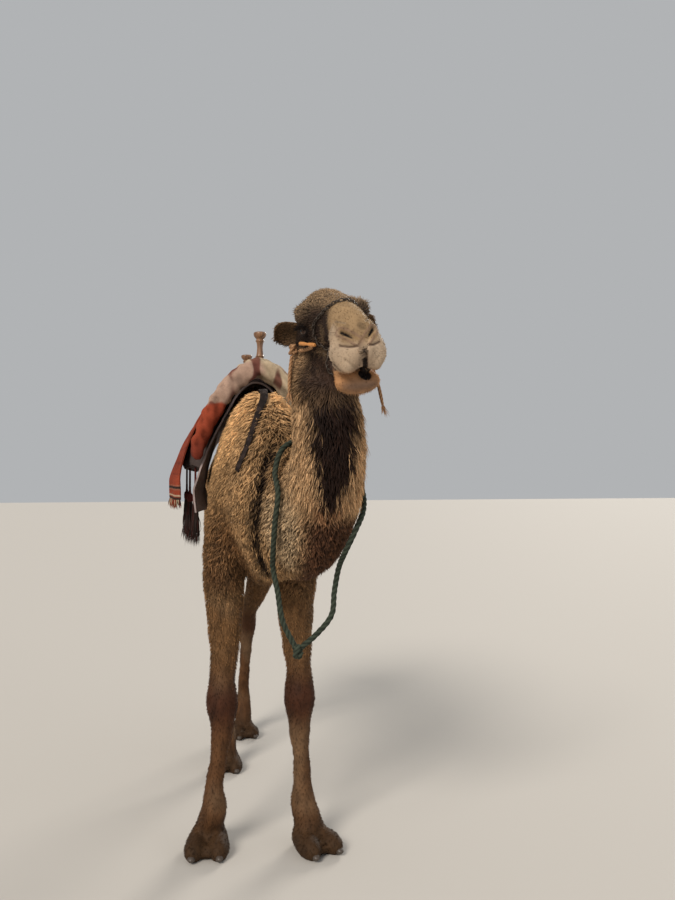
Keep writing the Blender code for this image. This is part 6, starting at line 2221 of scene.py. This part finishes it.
for low, high, tint in ((-0.02, 0.012, SOOT), (0.012, 0.019, CREAM), (0.040, 0.046, CREAM),
                        (0.046, 0.062, SOOT), (0.062, 0.067, CREAM)):
    dye_and_shade = blended(dye_and_shade, tint, ramp(up_hem, low, low + 0.002) * ramp(-up_hem, -high, -high + 0.002))
across = run_of(rug_top[len(places) // 2])
flat = np.tile(flat_grid(across, places), (2, 1))
rug = cloth_piece("rug", (points, groups), dye_and_shade, flat, RUG_CLOTH, "rug", ["saddle_rug"])

# %% Fringe of the rug
fringe_roots = np.vstack([evenly(edge, 210) for edge in (rug_top[:, 0], rug_top[:, -1])])
fringe_roots[:, 2] += 0.004
fringe_roots[:, 0] -= np.sign(fringe_roots[:, 0] - swayed(0.6)) * 0.003
down = np.tile(np.array([0.0, 0.0, -1.0]), (len(fringe_roots), 1))
down += RNG.normal(0, 0.10, down.shape)
fringe_tint = np.array([MADDER, WINE, SOOT, CREAM * 0.7])[RNG.integers(0, 4, len(fringe_roots))]
length = 0.030 + 0.022 * RNG.random(len(down))
fringe = strands("rug_fringe", fringe_roots, down, length, 0.0042, fringe_tint, ROPE)

# %% [markdown]
# The rolled edge is the softest part: a long cotton roll that is thick over the arch and thin at
# its ends. It is a tube whose radius is pinched by wrinkles that run round it on a slant, and it
# is painted darker where they pinch it in, as painted shade.

# %% Roll
turn = np.linspace(-0.80, 0.80, 33)
radius = 0.053 - 0.018 * np.abs(turn / 0.80) ** 2
roll_line = tent(FRONT_ARCH, 0.044, turn)
roll_line[:, 1] = FRONT_ARCH - ARCH_THICK / 2 - 0.058
stations = np.column_stack([roll_line, radius * 0.95, radius])
points, groups = closed_tube(tube_grid(stations, np.array([0.0, 1.0, 0.0]), 56, 7))
middle = points[:, None] - roll_line[None]
nearest = np.argmin((middle**2).sum(2), axis=1)
out = unit(points - roll_line[nearest])
slant = points @ np.array([0.3, 0.9, 0.4])
gather = 0.5 + 0.5 * np.sin(slant * 2 * math.pi / 0.062 + 2.4 * cloud(points, 0.20, 61))
pinch = 0.0060 * gather + 0.0050 * cloud(points, 0.065, 62) - 0.0095
points = points + out * pinch[:, None]
height = points[:, 2] + 0.008 * cloud(points, 0.10, 63)
dye_and_shade = blended(CREAM, PINK, ramp(cloud(points, 0.20, 64), -0.3, 0.4))
blot = ramp(cloud(points * np.array([1, 1, 0.5]), 0.13, 65), 0.0, 0.3)
front = ramp(-points[:, 1], -(FRONT_ARCH - 0.075), -(FRONT_ARCH - 0.100))
dye_and_shade = blended(dye_and_shade, WINE * 1.5, 0.85 * blot * front)
dye_and_shade = blended(MADDER, dye_and_shade, ramp(height, 1.820, 1.834))
# Painted shade: darker where the wrinkles pinch the roll in.
dye_and_shade = dye_and_shade * (0.62 + 0.38 * ramp(pinch, -0.013, -0.005))[:, None]
dye_and_shade = blended(dye_and_shade, WINE, 0.6 * ramp(-height, -1.72, -1.60))
flat = np.column_stack([slant, points @ np.array([0.5, 0.1, -0.85])])
roll = cloth_piece("rolled_edge", (points, groups), dye_and_shade, flat, ROLL_CLOTH, "padding",
                   ["saddle_roll"])

# %% Pads
for side, sign in (("left", 1), ("right", -1)):
    turn = sign * np.linspace(0.20, 0.86, 26)
    first, last = FRONT_ARCH + ARCH_THICK / 2, REAR_ARCH - ARCH_THICK / 2
    grids = [under_rug(y, turn, 0.004) for y in np.linspace(first + 0.001, last - 0.001, 25)]
    outer, inner = (np.array([pair[k] for pair in grids]) for k in (0, 1))
    middle = (outer + inner) / 2
    s = np.linspace(-1, 1, 25)[:, None]
    t = np.linspace(-1, 1, 26)[None, :]
    crown = (np.clip(1 - s**6, 0, 1) * np.clip(1 - t**6, 0, 1))[..., None] ** 0.35
    quilt = (0.0016 * np.cos(t * 3.5 * math.pi) - 0.0016)[..., None]
    outer_face = middle + (outer - middle) * (0.55 + 0.44 * crown) + quilt * grid_normals(outer)
    inner_face = middle + (inner - middle) * (0.55 + 0.44 * crown)
    points, groups = closed_shell(outer_face, inner_face)
    dye_and_shade = blended(LILAC * 0.25, SOOT * 2, 0.4 + 0.4 * cloud(points, 0.09, 71))
    pad = cloth_piece(f"stuffed_pad_{side}", (points, groups), dye_and_shade, points[:, 1:], PAD_CLOTH,
                      "padding", [f"saddle_pad_{side}"])

# %% Felt
FELT_ROWS = 20
felt_middle = np.array([
    over_body(y, -27, 207, 110, FELT_GAP + FELT_THICK / 2, lean)
    for y, lean in zip(np.linspace(0.300, 1.060, FELT_ROWS), np.linspace(0.070, 0, FELT_ROWS))])
front = np.clip(1 - np.arange(FELT_ROWS) / 5.0, 0, 1)[:, None]
hanging = np.clip((1.80 - felt_middle[..., 2]) / 0.40, 0, 1)
felt_middle[..., 0] += np.sign(felt_middle[..., 0]) * 0.055 * front * hanging
felt_out = facing_up(grid_normals(felt_middle))
wrinkle = 0.0012 * cloud(felt_middle.reshape(-1, 3), 0.09, 81).reshape(felt_middle.shape[:2])
points, groups = closed_shell(
    felt_middle + felt_out * (0.0040 + wrinkle)[..., None],
    felt_middle - felt_out * (0.0040 - wrinkle)[..., None],
)
dye_and_shade = blended(LILAC, LILAC * 0.62, 0.5 + 0.5 * cloud(points, 0.14, 82))
flat = np.tile(flat_grid(run_of(felt_middle[FELT_ROWS // 2]), felt_middle[:, 0, 1]), (2, 1))
felt = cloth_piece("felt", (points, groups), dye_and_shade, flat, FELT_CLOTH, "felt", ["saddle_felt"])
down, along = np.diff(felt_middle, axis=0)[:, :-1], np.diff(felt_middle, axis=1)[:-1]

# %% [markdown]
# The tree's arches are bent bars with rounded edges: the section is a superellipse, whose corners
# are rounder than a rectangle's. The posts are turned on a lathe: a profile of radius against
# height, smoothed and carried round.

# %% Arches and posts
ARCH_REACH = 0.72  # how far down the roof the arches go, as a share of the rug
POST = [  # share of the height, radius
    (0.0, 0.0165), (0.13, 0.0170), (0.17, 0.0205), (0.22, 0.0165), (0.45, 0.0130),
    (0.62, 0.0150), (0.70, 0.0200), (0.75, 0.0165), (0.83, 0.0245), (0.90, 0.0287),
    (0.97, 0.0280), (1.0, 0.0215)]


def squared(wave):
    """A sine or cosine made squarer, which gives a bar's section its rounded corners."""
    return np.sign(wave) * np.abs(wave) ** 0.45


def turned(foot, heights, radii, sides):
    """A shape from the lathe: a circle of each radius at each height above its foot."""
    angle, radii = full_turn(sides), radii[:, None]
    rings = np.broadcast_arrays(radii * np.cos(angle), radii * np.sin(angle), heights[:, None])
    return foot + np.stack(rings, axis=-1)


for end, y, post_top in (("front", FRONT_ARCH, FRONT_POST_TOP),
                         ("rear", REAR_ARCH, REAR_POST_TOP)):
    turn = np.linspace(-ARCH_REACH, ARCH_REACH, 61)
    outer = tent(y, RUG_THICK + 0.004, turn)
    inner = tent(y, RUG_THICK + 0.004 + 0.042, turn)
    outer[:, 2] += 0.012 * (1 - np.abs(turn) / ARCH_REACH)
    angle = full_turn(16)
    grid = ((outer + inner) / 2)[:, None] + (
        squared(np.cos(angle))[None, :, None] / 2 * (outer - inner)[:, None]
        + (squared(np.sin(angle)) * ARCH_THICK / 2)[None, :, None] * np.array([0.0, 1.0, 0.0]))
    add_piece(f"arch_{end}", new_mesh(f"arch_{end}", *closed_tube(grid)), WOOD, "wood",
              [f"saddle_arch_{end}"])
    low, high = (np.array(corner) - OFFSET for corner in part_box(f"saddle_post_{end}"))
    foot = np.array([(low[0] + high[0]) / 2, (low[1] + high[1]) / 2, low[2]])
    profile = smooth_path(POST, 5)
    grid = turned(foot, (post_top - low[2]) * profile[:, 0], profile[:, 1], 48)
    add_piece(f"post_{end}", new_mesh(f"post_{end}", *closed_tube(grid)), WOOD, "wood",
              [f"saddle_post_{end}"])


# %% [markdown]
# ## Straps and tassels
# The girth and the shoulder strap are flat webbing: a grid across and along, a little crowned,
# with a thin raised edge where the weave turns back.

# %% Webbing
def webbing(name, line, out, width, thick, replaces):
    """A flat band on a line, its broad side facing out; it crowns by a fifth of its thickness."""
    aside = unit(np.cross(unit(np.gradient(line, axis=0)), out))
    t = np.linspace(-1, 1, 13)
    crown = thick * (1 - 0.25 * t**2 + 0.12 * (np.abs(t) > 0.8))
    face = line[:, None] + aside[:, None] * (t * width / 2)[None, :, None]
    outer = face + out[:, None] * crown[None, :, None]
    points, groups = closed_shell(outer, face)
    flat = np.tile(flat_grid(t * width / 2, run_of(line)), (2, 1))
    worn = 0.5 + 0.5 * cloud(points, 0.05, 91)
    cloth_piece(name, (points, groups), blended(SOOT * 0.5, SOOT * 1.6, worn**2), flat, WEBBING,
                "strap", replaces, sharp=50)


girth_line = evenly(over_body(0.470, -12, -168, 60, 0.006), 90)
girth_out = outward(girth_line)
girth_out[:, 1] = 0
webbing("girth", girth_line, unit(girth_out), 0.065, 0.0035, ["saddle_girth"])
strap_line = laid(smooth_path(STRAP_STATIONS, 12), 0.0120)
webbing("shoulder_band", strap_line, outward(strap_line), 0.032, 0.0045, ["shoulder_strap"])

# %% Tassels
TASSELS = ((0.430, 0.275), (0.505, 0.297), (0.880, 0.300))  # distance back, distance aside
TASSEL_YARNS = 120
KNOB = smooth_path([  # height, radius
    (0.205, 0.007), (0.212, 0.0125), (0.228, 0.0140), (0.243, 0.0120), (0.252, 0.0065),
    (0.300, 0.0050), (0.430, 0.0048)], 5)
groove = 1 + 0.06 * np.sin(KNOB[:, 0] * 900)
for sign, side in ((1, "left"), (-1, "right")):
    for number, (y, x) in enumerate(TASSELS, start=1):
        foot = np.array([swayed(0.6) + sign * x, y, 1.185])
        points, groups = closed_tube(turned(foot, KNOB[:, 0], KNOB[:, 1] * groove, 24))
        mesh = new_mesh(f"tassel_head_{side}_{number}", points, groups)
        paint(mesh, "markings_and_shade", np.tile(WINE * 0.9, (len(points), 1)))
        head = add_piece(mesh.name, mesh, ROPE, "tassel", [f"tassel_{side}_{number}"])
        angle = RNG.random(TASSEL_YARNS) * 2 * math.pi
        off = np.sqrt(RNG.random(TASSEL_YARNS))
        spread = np.column_stack([off * np.cos(angle), off * np.sin(angle), 0 * off])
        start = foot + 0.010 * spread + (0, 0, 0.215)
        way = foot + 0.024 * spread - start
        way[:, 2] += 0.030 * RNG.random(TASSEL_YARNS)
        tint = np.array([SOOT * 0.7, WINE * 0.5, SOOT * 1.4])[RNG.integers(0, 3, TASSEL_YARNS)]
        skirt = strands(f"tassel_skirt_{side}_{number}", start, unit(way),
                        np.linalg.norm(way, axis=1) * 0.97, 0.0034, tint, ROPE, parts=6)
print("saddle, straps and tassels made")

# %% [markdown]
# ## Floor and light
# A plain pale floor and soft light: one broad sun high on the camera's left, where the day
# comes from, a weak one on the right, and one behind that draws a bright edge on the coat.

# %% Floor
def stage_floor():
    """A pale floor, wide enough to meet the pale air far behind."""
    mesh = bpy.data.meshes.new("floor")
    mesh.from_pydata([(-40, -40, 0), (40, -40, 0), (40, 40, 0), (-40, 40, 0)], [], [(0, 1, 2, 3)])
    floor = bpy.data.objects.new("floor", mesh)
    bpy.context.scene.collection.objects.link(floor)
    made, _, shader = material_of("pale floor", 0.85)
    shader.inputs["Base Color"].default_value = (0.50, 0.47, 0.43, 1.0)
    mesh.materials.append(made)
    floor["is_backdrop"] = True


stage_floor()

# %% Light
def lamp(name, place, aim, soft, strength, colour):
    """A sun that shines from a place towards another; soft is its width in degrees."""
    data = bpy.data.lights.new(name, "SUN")
    data.angle, data.energy, data.color = math.radians(soft), strength, colour
    made = bpy.data.objects.new(name, data)
    bpy.context.scene.collection.objects.link(made)
    made.location = place
    made.rotation_euler = (Vector(aim) - Vector(place)).to_track_quat("-Z", "Y").to_euler()


lamp("key", (-2.4, -3.6, 4.4), (0.0, -0.5, 1.5), 22, 2.7, (1.0, 0.94, 0.86))
lamp("fill", (3.2, -4.0, 2.2), (0.1, -0.6, 1.3), 40, 0.35, (0.95, 0.97, 1.0))
lamp("rim", (2.6, 4.0, 3.4), (0.0, 0.3, 1.4), 20, 1.6, (1.0, 0.94, 0.85))
world = bpy.data.worlds.new("air")
bpy.context.scene.world = world
world.use_nodes = True
world.node_tree.nodes["Background"].inputs[0].default_value = (0.80, 0.82, 0.84, 1.0)
world.node_tree.nodes["Background"].inputs[1].default_value = 0.55
bpy.context.scene.view_settings.view_transform = "Standard"

# %% The two boxes, and the end
seen_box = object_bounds()
for axis, low, high, low_seen, high_seen in zip("xyz", *cad_box, *seen_box):
    print(f"{axis}: solids {low:.3f} to {high:.3f}, dressed {low_seen:.3f} to {high_seen:.3f}")
